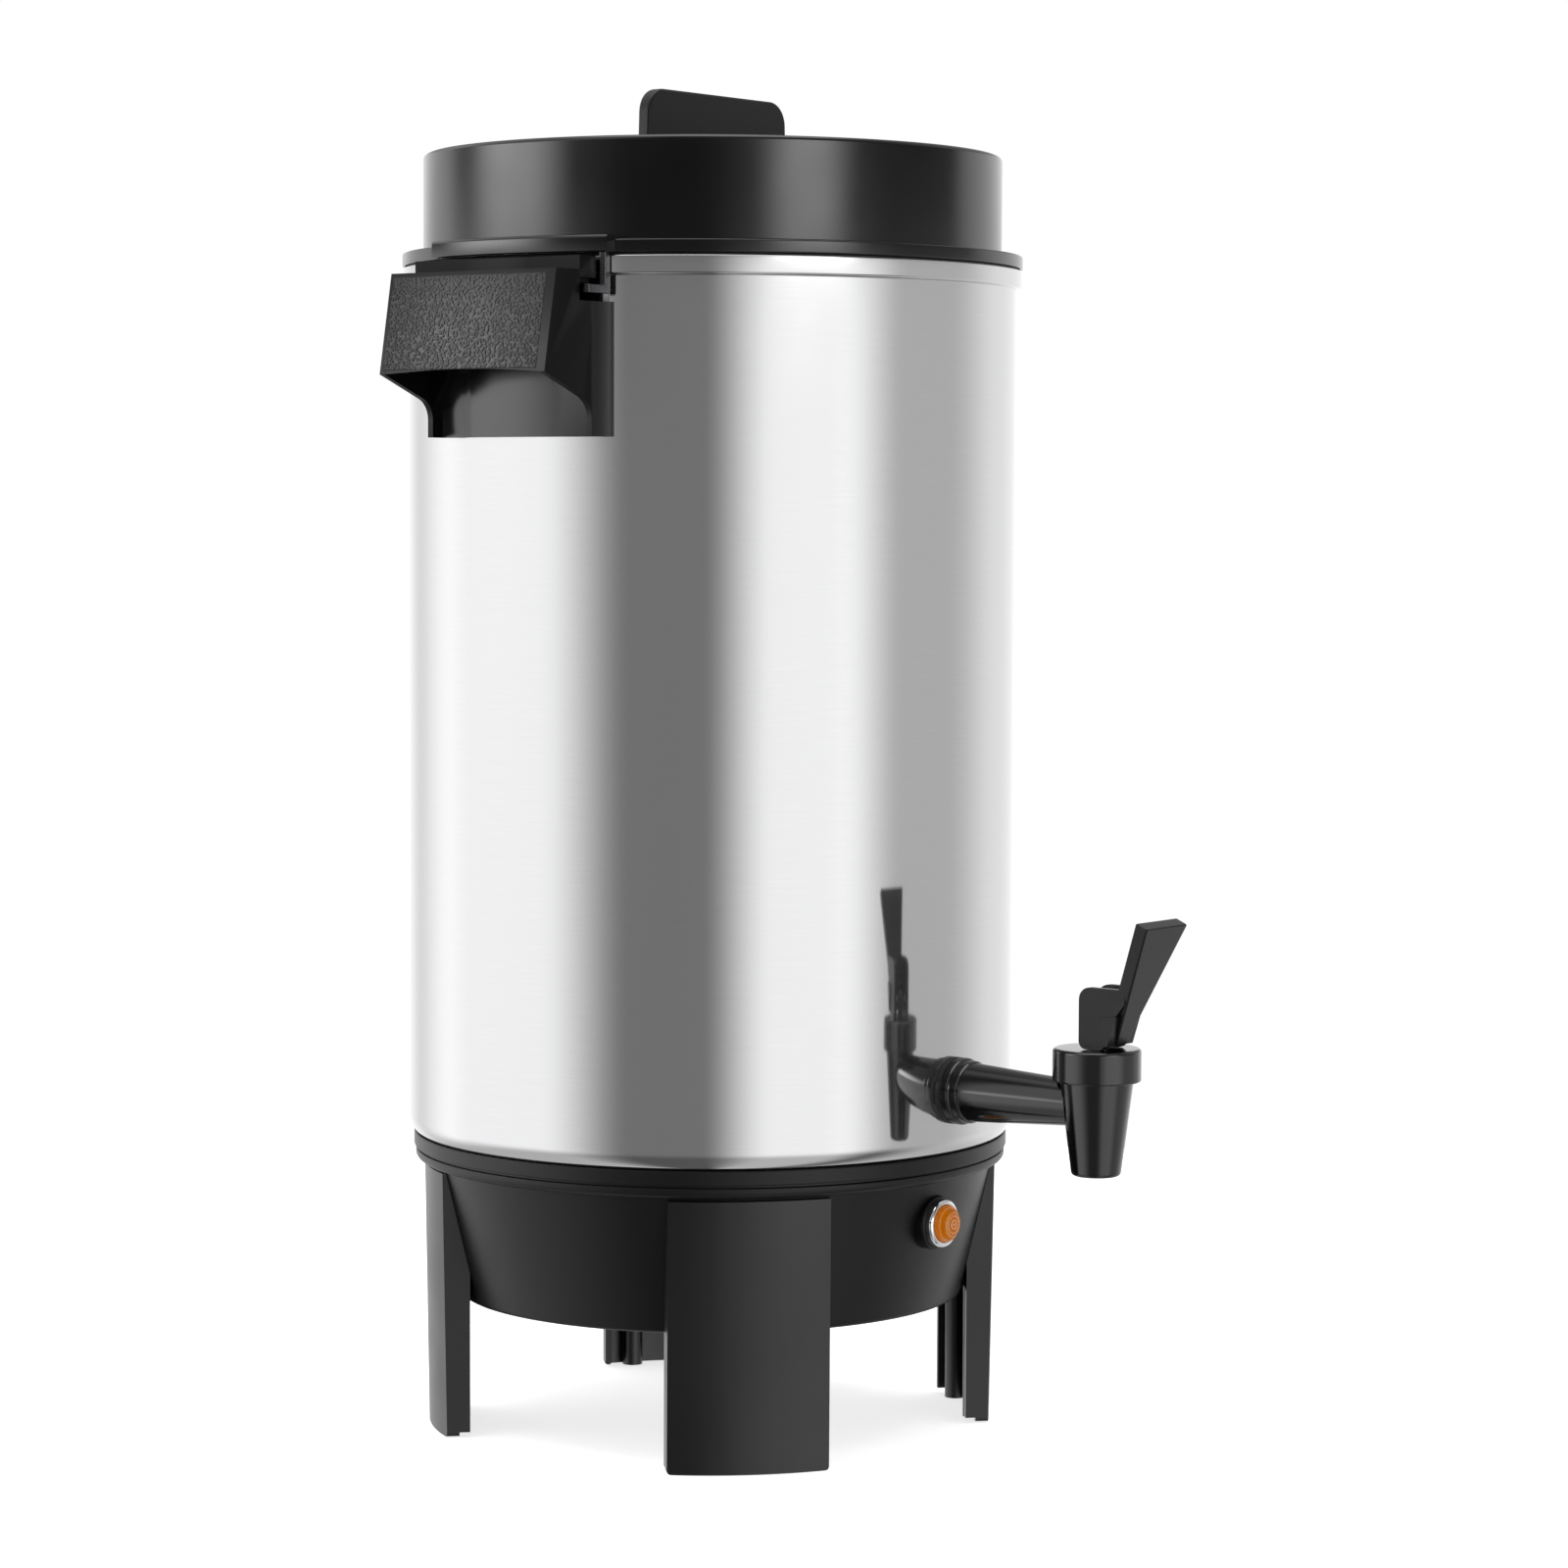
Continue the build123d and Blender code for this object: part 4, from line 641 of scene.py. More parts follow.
# ---------------------------------------------------------------- making meshes
class Workpiece:
    """A mesh in the making, in millimetres."""

    def __init__(self) -> None:
        """Start with nothing."""
        self.bm = bmesh.new()

    @classmethod
    def copied(cls, node: str) -> "Workpiece":
        """A merged copy of a CAD node's mesh, its flat faces made whole.

        Args:
            node: Name of the CAD node.

        Returns:
            The copy.
        """
        work = cls()
        bm = work.bm
        bm.from_mesh(frame["nodes"][node].data)
        bmesh.ops.scale(bm, vec=Vector((1, 1, 1)) / MM, verts=bm.verts)
        bmesh.ops.remove_doubles(bm, verts=bm.verts, dist=WELD)
        bmesh.ops.dissolve_limit(
            bm, angle_limit=radians(FLAT), verts=bm.verts, edges=bm.edges, use_dissolve_boundaries=False
        )
        return work

    @classmethod
    def outlined(cls, corners: Sequence[tuple], segments: int) -> "Workpiece":
        """A flat face in the XZ plane with rounded corners.

        Args:
            corners: The outline's corners in order, each (x, z) or (x, z, arc).
            segments: Flats along each arc.

        Returns:
            The face.
        """
        work = cls()
        bm = work.bm
        bm.faces.new([bm.verts.new((corner[0], 0, corner[1])) for corner in corners])
        for x, z, arc in (corner for corner in corners if len(corner) == 3):
            spot = Vector((x, 0, z))
            vert = min(bm.verts, key=lambda v: (v.co - spot).length)
            bmesh.ops.bevel(
                bm, geom=[vert], offset=arc, offset_type="OFFSET", segments=segments, profile=0.5,
                affect="VERTICES", material=-1,
            )
        return work

    def turned(self, steps: int) -> "Workpiece":
        """Spin the outline's edges once round Z.

        Args:
            steps: Flats round the turn.

        Returns:
            This workpiece.
        """
        bm = self.bm
        bmesh.ops.delete(bm, geom=bm.faces[:], context="FACES_ONLY")
        bmesh.ops.spin(
            bm, geom=bm.verts[:] + bm.edges[:], cent=(0, 0, 0), axis=(0, 0, 1), angle=2 * pi, steps=steps,
            use_merge=True,
        )
        bmesh.ops.remove_doubles(bm, verts=bm.verts, dist=WELD)
        bmesh.ops.recalc_face_normals(bm, faces=bm.faces)
        return self

    def softened(self, width: float, segments: int, least: float) -> "Workpiece":
        """Bevel the sharp edges.

        Args:
            width: Width of the bevel.
            segments: Flats across it.
            least: Smallest fold, in degrees, that counts as sharp.

        Returns:
            This workpiece.
        """
        fold = radians(least)
        sharp = [edge for edge in self.bm.edges if edge.is_manifold and edge.calc_face_angle(0) > fold]
        bmesh.ops.bevel(
            self.bm, geom=sharp, offset=width, offset_type="OFFSET", segments=segments, profile=0.5,
            affect="EDGES", clamp_overlap=True, material=-1,
        )
        return self

    def moved(self, matrix: Matrix) -> "Workpiece":
        """Apply a matrix, in millimetres."""
        bmesh.ops.transform(self.bm, matrix=matrix, verts=self.bm.verts)
        return self

    def joined(self, tool: "Workpiece", join: Join = Join.CUT) -> "Workpiece":
        """Cut with, fuse to or trim by another workpiece.

        Args:
            tool: The other closed shell, which is used up.
            join: What it does.

        Returns:
            This workpiece.
        """
        blank, cutter = self.as_object("blank"), tool.as_object("cutter")
        modifier = blank.modifiers.new("join", "BOOLEAN")
        modifier.object = cutter
        modifier.operation = join.value
        modifier.solver = "EXACT"
        evaluated = blank.evaluated_get(bpy.context.evaluated_depsgraph_get())
        result = bpy.data.meshes.new_from_object(evaluated)
        self.bm = bmesh.new()
        self.bm.from_mesh(result)
        bpy.data.objects.remove(blank)
        bpy.data.objects.remove(cutter)
        bmesh.ops.remove_doubles(self.bm, verts=self.bm.verts, dist=WELD)
        return self

    def as_object(self, name: str) -> bpy.types.Object:
        """Turn the workpiece to an object, and let its bmesh go.

        Args:
            name: The object's name.

        Returns:
            The object.
        """
        mesh = bpy.data.meshes.new(name)
        self.bm.to_mesh(mesh)
        self.bm.free()
        made = bpy.data.objects.new(name, mesh)
        bpy.context.scene.collection.objects.link(made)
        return made

    def finish(
        self, name: str, finish: Finish, body: Body, node: str, crease: float = CREASE, leaned: bool = True
    ) -> bpy.types.Object:
        """Make the finished piece, in metres, hang it on its body and hide the CAD node it stands for.

        Args:
            name: The piece's name.
            finish: Its material.
            body: Body it rides on.
            node: CAD node it stands for.
            crease: Fold, in degrees, from which an edge is drawn sharp.
            leaned: Whether normals at rounded edges lean on the large faces.

        Returns:
            The piece.
        """
        bmesh.ops.scale(self.bm, vec=Vector((MM, MM, MM)), verts=self.bm.verts)
        piece = self.as_object(name)
        piece.data.polygons.foreach_set("use_smooth", [True] * len(piece.data.polygons))
        piece.data.set_sharp_from_angle(angle=radians(crease))
        if leaned:
            self.weigh_normals(piece)
        piece.data.materials.append(finish.build())
        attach(piece, body.value)
        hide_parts(node)
        log.info("%s: %d faces", name, len(piece.data.polygons))
        return piece

    @staticmethod
    def weigh_normals(piece: bpy.types.Object) -> None:
        """Lean the normals at rounded edges on the large faces, so that flats stay flat.

        Args:
            piece: Piece whose normals are weighed.
        """
        modifier = piece.modifiers.new("normals", "WEIGHTED_NORMAL")
        modifier.keep_sharp = True
        modifier.weight = 100
        evaluated = piece.evaluated_get(bpy.context.evaluated_depsgraph_get())
        weighed = bpy.data.meshes.new_from_object(evaluated)
        piece.modifiers.clear()
        rough, piece.data = piece.data, weighed
        bpy.data.meshes.remove(rough)


def lathe(
    corners: Sequence[tuple], steps: int, segments: int = 5, axis: Optional[tuple[float, float]] = None
) -> Workpiece:
    """Closed shell turned from an outline of (radius, height, arc) corners.

    Args:
        corners: The outline in order; the arc may be left out.
        steps: Flats round the turn.
        segments: Flats along each arc.
        axis: (y, z) of a horizontal axis that points along -Y, with heights counted from it,
            or None for Z.

    Returns:
        The workpiece.
    """
    work = Workpiece.outlined(corners, segments).turned(steps)
    if axis is not None:
        work.moved(Matrix.Translation((0, *axis)) @ Matrix.Rotation(radians(90), 4, "X"))
    return work


def rod(
    radius: float, low: float, high: float, steps: int, axis: Optional[tuple[float, float]] = None
) -> Workpiece:
    """A plain round shell between two heights, turned as by the lathe."""
    return lathe(((0, low), (radius, low), (radius, high), (0, high)), steps, 1, axis)


def block(low: Sequence[float], high: Sequence[float]) -> Workpiece:
    """A box between two corners.

    Args:
        low: Lowest corner.
        high: Highest corner.

    Returns:
        The workpiece.
    """
    work = Workpiece()
    bmesh.ops.create_cube(work.bm, size=1.0)
    bmesh.ops.scale(work.bm, vec=Vector(high) - Vector(low), verts=work.bm.verts)
    bmesh.ops.translate(work.bm, vec=(Vector(low) + Vector(high)) / 2, verts=work.bm.verts)
    return work


@dataclass(frozen=True)
class Fitted:
    """A smoothed copy of a CAD node, which stands for it.

    Attributes:
        node: The CAD node.
        name: The piece's name.
        finish: Its material.
        body: Body it rides on.
        width: Width of the bevel on its sharp edges, or 0 for none.
        segments: Flats across the bevel.
        least: Smallest fold, in degrees, that gets one.
        crease: Fold, in degrees, from which an edge is drawn sharp.
        leaned: Whether normals at rounded edges lean on the large faces.
    """

    node: str
    name: str
    finish: Finish
    body: Body = Body.URN
    width: float = 0.0
    segments: int = 2
    least: float = 60.0
    crease: float = CREASE
    leaned: bool = True

    def build(self) -> bpy.types.Object:
        """Copy, soften and finish the node.

        Returns:
            The piece.
        """
        work = Workpiece.copied(self.node)
        if self.width:
            work.softened(self.width, self.segments, self.least)
        return work.finish(self.name, self.finish, self.body, self.node, self.crease, self.leaned)


# ---------------------------------------------------------------- sub-assemblies
@dataclass
class Tank:
    """Deep-drawn steel pot with a rolled rim, a rounded floor and a sump."""

    radius: float = 127.0
    wall: float = 1.0
    floor_z: float = 120.0
    corner: float = 10.5
    rim_low: float = 475.6
    rim_high: float = 483.2
    rim_radius: float = 129.6
    bead: float = 1.3
    rim_edge: float = 0.5
    sump_radius: float = 21.0
    sump_z: float = 101.0
    arc_flats: int = 8

    def build(self) -> None:
        """Turn the pot with its rim bead."""
        inner = self.radius - self.wall
        sump = self.sump_radius
        outline = (
            (0, self.sump_z),
            (sump + self.wall, self.sump_z, SOFT),
            (sump + self.wall, self.floor_z, SOFT),
            (self.radius, self.floor_z, self.corner),
            (self.radius, self.rim_low, CRISP),
            (self.rim_radius, self.rim_low, self.bead),
            (self.rim_radius, self.rim_high, self.rim_edge),
            (inner, self.rim_high, CRISP),
            (inner, self.floor_z + self.wall, self.corner - self.wall),
            (sump, self.floor_z + self.wall, SOFT),
            (sump, self.sump_z + self.wall, SOFT),
            (0, self.sump_z + self.wall),
        )
        lathe(outline, POT_STEPS, self.arc_flats).finish("tank_pot", STEEL, Body.URN, "tank")


@dataclass
class Base:
    """Ring, tapered skirt and pilot boss of the base, with its legs, cover and inlet."""

    ring_radius: float = 125.0
    ring_top: float = 123.0
    ring_low: float = 111.6
    ring_edge: float = 0.5
    ring_lip: float = 2.6
    band_z: float = 117.2
    band_step: float = 0.6
    groove: float = 0.9
    groove_falls: tuple[float, float, float] = (0.3, 1.0, 1.3)
    skirt_top: float = 119.4
    skirt_foot: float = 106.4
    skirt_lip: float = 1.6
    foot_z: float = 54.5
    wall: float = 2.6
    shelf_radius: float = 72.0
    shelf_z: float = 117.0
    floor_z: float = 120.0
    seat_run: float = 4.0
    seat_rise: float = 2.3
    seat_wall: float = 1.0
    seat_edge: float = 0.3
    boss_radius: float = 11.0
    boss_root: float = 107.0
    boss_reach: float = 119.4
    pilot_z: float = 94.3
    pilot_hole: float = 6.5
    inlet_z: float = 93.5
    inlet_half: tuple[float, float] = (13.6, 10.1)
    hole_span: tuple[float, float] = (95.0, 125.0)
    legs: tuple = ("leg_front_right", "leg_rear_right", "leg_rear_left", "leg_front_left")
    fitted: tuple = (
        Fitted("bottom_cover", "bottom_cover_plate", SHELL, width=0.3),
        Fitted("inlet_frame", "inlet_frame_moulding", SHELL, width=0.8, segments=3),
        Fitted("power_inlet", "power_inlet_moulding", SHELL, width=0.4),
    )

    def build(self) -> None:
        """Make the shell, then its legs, cover and inlet."""
        self.shell()
        for leg in self.legs:
            Fitted(leg, f"{leg}_moulding", LEG, width=0.5, least=40.0).build()
        for piece in self.fitted:
            piece.build()

    def shell(self) -> None:
        """Turn the ring and skirt, fuse the boss, and cut the holes of the pilot and the inlet."""
        step = self.ring_radius - self.band_step
        lip = self.ring_radius - self.seat_wall
        start, middle, end = (self.band_z - fall for fall in self.groove_falls)
        outline = (
            (self.ring_radius, self.ring_top, self.ring_edge),
            (self.ring_radius, self.band_z, CRISP),
            (step - self.groove, start),
            (step - self.groove, middle),
            (step, end, CRISP),
            (step, self.ring_low, self.ring_lip),
            (self.skirt_top, self.ring_low, EASED),
            (self.skirt_foot, self.foot_z, self.skirt_lip),
            (self.skirt_foot - self.wall, self.foot_z, self.ring_edge),
            (self.skirt_top - self.wall, self.ring_low),
            (self.skirt_top - self.wall, self.shelf_z),
            (self.shelf_radius, self.shelf_z),
            (self.shelf_radius, self.floor_z),
            (self.ring_radius - self.seat_run, self.floor_z),
            (lip, self.floor_z + self.seat_rise),
            (lip, self.ring_top, self.seat_edge),
        )
        axis = (0.0, self.pilot_z)
        radius, root, reach = self.boss_radius, self.boss_root, self.boss_reach
        boss = lathe(((0, root), (radius, root), (radius, reach, ROUND), (0, reach)), TUBE_STEPS, 4, axis)
        near, far = self.hole_span
        half_x, half_z = self.inlet_half
        mouth = block((-half_x, near, self.inlet_z - half_z), (half_x, far, self.inlet_z + half_z))
        shell = lathe(outline, POT_STEPS, 4).joined(boss, Join.FUSE)
        shell.joined(rod(self.pilot_hole, near, far, TUBE_STEPS, axis)).joined(mouth)
        shell.finish("base_moulding", SHELL, Body.URN, "base_shell")


@dataclass
class Handles:
    """The two hollow handles, with grain on the front of each grip."""

    edge: float = 0.7
    flats: int = 3
    least: float = 25.0
    crease: float = 15.0

    def build(self) -> None:
        """Soften a copy of each handle."""
        for side in ("handle_left", "handle_right"):
            name = f"{side}_moulding"
            Fitted(side, name, GRIP, Body.URN, self.edge, self.flats, self.least, self.crease, False).build()


@dataclass
class Lid:
    """Hollow cap with a flange, two lugs, hooks, a bar grip and its gasket."""

    side: float = 120.7
    base_z: float = 484.03
    top_z: float = 530.4
    top_edge: float = 1.8
    flange_radius: float = 129.5
    flange_top: float = 489.4
    flange_edge: float = 0.7
    wall: float = 2.6
    inner_edge: float = 1.0
    plug_radius: float = 120.6
    plug_z: float = 476.0
    recess_radius: float = 115.7
    recess_depth: float = 1.5
    lug_radius: float = 134.3
    lug_top: float = 491.0
    lug_inner: float = 127.5
    lug_edges: tuple[float, float] = (1.3, 0.5)
    lug_low: tuple[float, float, float] = (-43.0, -160.0, 470.0)
    lug_high: tuple[float, float, float] = (47.0, -100.0, 500.0)
    vent_radius: float = 2.0
    vent_reach: float = 80.0
    vent_half: float = 9.0
    fitted: tuple = (
        Fitted("lid_latches", "lid_hooks", HOOK, Body.LID, 0.35, least=50.0),
        Fitted("lid_grip", "lid_grip_bar", SHELL, Body.LID, 0.4, least=50.0),
        Fitted("lid_gasket", "lid_seal_ring", SILICONE, Body.LID_SEAL, 0.3),
    )

    def build(self) -> None:
        """Make the cap, then the hooks, the grip and the gasket."""
        self.cap()
        for piece in self.fitted:
            piece.build()

    def cap(self) -> None:
        """Turn the cap, fuse the lugs and drill the vent."""
        floor = self.top_z - self.recess_depth
        inner, plug = self.side - self.wall, self.plug_radius - self.wall
        outline = (
            (self.plug_radius, self.plug_z, EASED),
            (self.plug_radius, self.base_z),
            (self.flange_radius, self.base_z, self.flange_edge),
            (self.flange_radius, self.flange_top, self.flange_edge),
            (self.side, self.flange_top, SOFT),
            (self.side, self.top_z, self.top_edge),
            (self.recess_radius, self.top_z, SOFT),
            (self.recess_radius, floor, EASED),
            (0, floor),
            (0, floor - self.wall),
            (inner, floor - self.wall, self.inner_edge),
            (inner, self.flange_top),
            (plug, self.base_z),
            (plug, self.plug_z, EASED),
        )
        cap = lathe(outline, POT_STEPS, 6)
        for side in (-90, 90):
            cap.joined(self.lug(side), Join.FUSE)
        vent = rod(self.vent_radius, floor - self.vent_half, floor + self.vent_half, PIN_STEPS)
        cap.joined(vent.moved(Matrix.Translation((0, -self.vent_reach, 0))))
        cap.finish("lid_cap", LID, Body.LID, "lid_shell")

    def lug(self, azimuth: float) -> Workpiece:
        """Stretch of thicker flange over a handle, its ends square to the handle.

        Args:
            azimuth: Side of the urn, counted from the tap.

        Returns:
            The lug as a closed shell.
        """
        outline = (
            (self.lug_inner, self.base_z),
            (self.lug_radius, self.base_z, self.flange_edge),
            (self.lug_radius, self.lug_top, self.lug_edges[0]),
            (self.lug_inner, self.lug_top, self.lug_edges[1]),
        )
        lug = lathe(outline, POT_STEPS, 3).joined(block(self.lug_low, self.lug_high), Join.TRIM)
        return lug.moved(Matrix.Rotation(radians(azimuth), 4, "Z"))


@dataclass
class Tap:
    """Collar, tapered tube, spout cup, bonnet and lever of the self-closing tap."""

    axis_z: float = 149.3
    reach: float = 195.4
    face: float = 128.6
    collar: tuple[float, float] = (13.6, 4.0)
    step: tuple[float, float] = (12.7, 4.0)
    tube: tuple[float, float] = (11.9, 9.1)
    tube_short: float = 9.0
    shank: tuple[float, float] = (9.0, 14.0)
    bore: float = 5.5
    cup_top: float = 159.0
    cup_low: float = 121.2
    cup_radius: tuple[float, float] = (14.6, 9.8)
    cup_lip: float = 1.6
    spout: float = 6.5
    chamber: float = 10.0
    seat_z: float = 140.8
    neck_radius: float = 13.0
    neck_top: float = 166.4
    neck_gap: float = 0.05
    past: float = 5.0
    bonnet_radius: float = 17.6
    bonnet_top: float = 172.2
    bonnet_edges: tuple[float, float] = (1.4, 0.9)
    ceiling: float = 169.2
    stem_radius: float = 2.65
    score: float = 0.3
    score_stop: float = 1.2
    scores: int = 6
    first_score: float = -53.0
    lift: float = 3.3
    crease: float = 28.0
    fitted: tuple = (
        Fitted("tap_lever", "tap_lever_moulding", LEVER, Body.LEVER, 0.45, least=40.0),
        Fitted("tap_gasket", "tap_gasket_part", SILICONE),
        Fitted("valve_stem", "valve_stem_part", LEVER, Body.VALVE),
        Fitted("seat_cup", "seat_cup_part", SILICONE, Body.VALVE),
        Fitted("tap_nut", "tap_nut_part", TAP),
        Fitted("lever_pin", "lever_pin_part", ZINC, Body.LEVER),
    )

    def build(self) -> None:
        """Make the body, the bonnet, the spring and the small parts."""
        self.body()
        self.bonnet()
        self.spring()
        for piece in self.fitted:
            piece.build()

    def spring(self) -> None:
        """Fit a smoothed copy of the coil, on a mesh of its own."""
        coil = Fitted("valve_spring", "valve_spring_coil", ZINC).build()
        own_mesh(coil)

    def body(self) -> None:
        """Turn the tube and the cup, fuse them and bore them out."""
        root = self.face - self.shank[1]
        collar_end = self.face + self.collar[1]
        step_end = collar_end + self.step[1]
        tip = self.reach - self.tube_short
        tube = (
            (0, root),
            (self.shank[0], root, SOFT),
            (self.shank[0], self.face),
            (self.collar[0], self.face, EASED),
            (self.collar[0], collar_end, ROUND),
            (self.step[0], collar_end, CRISP),
            (self.step[0], step_end, ROUND),
            (self.tube[0], step_end, CRISP),
            (self.tube[1], tip),
            (0, tip),
        )
        cup = (
            (0, self.cup_low),
            (self.cup_radius[1], self.cup_low, self.cup_lip),
            (self.cup_radius[0], self.cup_top, CRISP),
            (self.neck_radius, self.cup_top),
            (self.neck_radius, self.neck_top, EASED),
            (0, self.neck_top),
        )
        hollow = (
            (0, self.cup_low - self.past),
            (self.spout, self.cup_low - self.past),
            (self.spout, self.seat_z),
            (self.chamber, self.seat_z),
            (self.chamber, self.neck_top + self.past),
            (0, self.neck_top + self.past),
        )
        axis = (0.0, self.axis_z)
        out = Matrix.Translation((0, -self.reach, 0))
        body = lathe(tube, TUBE_STEPS, 4, axis).joined(lathe(cup, CUP_STEPS).moved(out), Join.FUSE)
        body.joined(lathe(hollow, TUBE_STEPS).moved(out))
        body.joined(rod(self.bore, root - self.past, self.reach, BORE_STEPS, axis))
        body.finish("tap_body_moulding", TAP, Body.URN, "tap_body", self.crease)

    def bonnet(self) -> None:
        """Turn the bonnet and score the lines down its side."""
        neck, side = self.neck_radius + self.neck_gap, -self.bonnet_radius
        outline = (
            (self.stem_radius, self.bonnet_top),
            (self.bonnet_radius, self.bonnet_top, self.bonnet_edges[0]),
            (self.bonnet_radius, self.cup_top, self.bonnet_edges[1]),
            (neck, self.cup_top),
            (neck, self.ceiling),
            (self.stem_radius, self.ceiling),
        )
        cap = lathe(outline, CUP_STEPS)
        low = (-self.score / 2, side - 1, self.cup_top - 1)
        high = (self.score / 2, side + self.score, self.bonnet_top - self.score_stop)
        for i in range(self.scores):
            turn = Matrix.Rotation(radians(self.first_score + i * 360 / self.scores), 4, "Z")
            cap.joined(block(low, high).moved(turn))
        cap.moved(Matrix.Translation((0, -self.reach, 0)))
        cap.finish("bonnet_cap", TAP, Body.URN, "bonnet")


@dataclass
class PilotLight:
    """Chrome bezel and stepped amber lens on the base's boss."""

    axis_z: float = 94.3
    seat: float = 119.4
    bezel: tuple[float, float] = (9.9, 3.2)
    bezel_edges: tuple[float, float] = (0.3, 1.4)
    gap: float = 0.05
    lens: tuple[float, float] = (7.5, 5.2)
    lens_edge: float = 0.9
    dome: tuple[float, float] = (5.4, 7.1)
    moat: tuple[float, float] = (0.5, 0.3)
    ring: float = 0.35
    ring_radii: tuple[float, float, float] = (3.0, 2.7, 2.4)

    def build(self) -> None:
        """Turn the bezel and the lens."""
        axis = (0.0, self.axis_z)
        outer, front = self.bezel[0], self.seat + self.bezel[1]
        bore = self.lens[0] + self.gap
        bezel = (
            (bore, self.seat),
            (outer, self.seat, self.bezel_edges[0]),
            (outer, front, self.bezel_edges[1]),
            (bore, front, EASED),
        )
        lathe(bezel, TUBE_STEPS, 5, axis).finish("pilot_bezel_ring", CHROME, Body.URN, "pilot_bezel")
        base, tip = self.seat + self.lens[1], self.seat + self.dome[1]
        dome = self.dome[0]
        lens = (
            (0, self.seat),
            (self.lens[0], self.seat),
            (self.lens[0], base, self.lens_edge),
            (dome + self.moat[0], base),
            (dome + self.moat[1], base - self.ring),
            (dome, base),
            (dome, tip, self.lens_edge),
            (self.ring_radii[0], tip),
            (self.ring_radii[1], tip - self.ring),
            (self.ring_radii[2], tip),
            (0, tip),
        )
        lathe(lens, TUBE_STEPS, 4, axis).finish("pilot_lens_moulding", AMBER, Body.URN, "pilot_lens")


@dataclass
class Fittings:
    """Parts that keep their CAD shape and get a finish, or a smoothed copy where they show."""

    smoothed: tuple = (
        ("bottom_cover_screws", ZINC, Body.URN),
        ("inlet_screws", ZINC, Body.URN),
        ("inlet_pins", BRASS, Body.URN),
        ("basket", ALUMINIUM, Body.BASKET),
        ("basket_cover", ALUMINIUM, Body.BASKET_COVER),
        ("pump_stem", ALUMINIUM, Body.PUMP),
        ("pump_foot", ALUMINIUM, Body.PUMP),
        ("handle_screws", ZINC, Body.URN),
        ("handle_washers", SILICONE, Body.URN),
    )

    def build(self) -> None:
        """Smooth what shows, then give every CAD node its finish."""
        for node, finish, body in self.smoothed:
            Fitted(node, f"{node}_part", finish, body).build()
        for row in frame["record"]["subparts"]:
            mesh = frame["nodes"][row["node"]].data
            mesh.materials.clear()
            mesh.materials.append(SLOT_FINISH[row["material_slot"]].build())


# ---------------------------------------------------------------- studio
@dataclass
class Camera:
    """The viewpoint: place and turn of the camera, in metres and degrees."""

    azimuth: float = -51.5
    distance: float = 1.8183
    height: float = 0.3867
    yaw: float = 0.965
    pitch: float = 3.718
    roll: float = 0.235
    lens: float = 99.161
    sensor: float = 36.0
    clip: tuple[float, float] = (0.05, 50.0)

    def build(self) -> None:
        """Add the camera and make it the scene's own."""
        data = bpy.data.cameras.new("camera")
        data.lens, data.sensor_width = self.lens, self.sensor
        data.clip_start, data.clip_end = self.clip
        camera = bpy.data.objects.new("camera", data)
        bpy.context.scene.collection.objects.link(camera)
        bearing = radians(self.azimuth)
        place = Matrix.Translation((self.distance * sin(bearing), -self.distance * cos(bearing), self.height))
        heading = Matrix.Rotation(bearing - radians(self.yaw), 4, "Z")
        tilt = Matrix.Rotation(radians(90 - self.pitch), 4, "X")
        camera.matrix_world = place @ heading @ tilt @ Matrix.Rotation(radians(self.roll), 4, "Z")
        bpy.context.scene.camera = camera


@dataclass(frozen=True)
class Softbox:
    """A tall soft light that fades out at its edges.

    Attributes:
        bearing: Bearing of its middle from the urn, in degrees from the tap, + towards +X.
        half_width: Degrees each side of the middle at full strength.
        fade: Degrees over which it falls off to nothing.
        strength: Light it adds to the room's.
    """

    bearing: float
    half_width: float
    fade: float
    strength: float

    def shine(self, tree: Tree, bearing: Node) -> Node:
        """Light of this softbox at a bearing.

        Args:
            tree: The world's node tree.
            bearing: Bearing of the looked-up direction, in radians.

        Returns:
            The added light.
        """
        aside = add_node(tree, "Math", {0: bearing}, {1: radians(self.bearing)}, operation="SUBTRACT")
        near = add_node(tree, "Math", {0: aside}, {1: pi, 2: -pi}, operation="WRAP")
        off = add_node(tree, "Math", {0: near}, operation="ABSOLUTE")
        edge = radians(self.half_width)
        ends = between(edge, edge + radians(self.fade), self.strength, 0.0)
        return add_node(tree, "MapRange", {"Value": off}, ends, interpolation_type="SMOOTHSTEP")


@dataclass(frozen=True)
class Zone:
    """A stretch of elevation whose light differs from what lies under it.

    Attributes:
        start: Heights on the unit sphere between which it takes over from the zone below.
        level: Light of the room itself.
        softboxes: Softboxes that hang in it.
    """

    start: tuple[float, float]
    level: float
    softboxes: tuple = ()

    def light(self, tree: Tree, bearing: Node) -> Node:
        """Light of the zone at a bearing.

        Args:
            tree: The world's node tree.
            bearing: Bearing of the looked-up direction, in radians.

        Returns:
            The zone's light.
        """
        light = add_node(tree, "Value")
        light.outputs[0].default_value = self.level
        for softbox in self.softboxes:
            light = add_node(tree, "Math", {0: light, 1: softbox.shine(tree, bearing)}, operation="ADD")
        return light


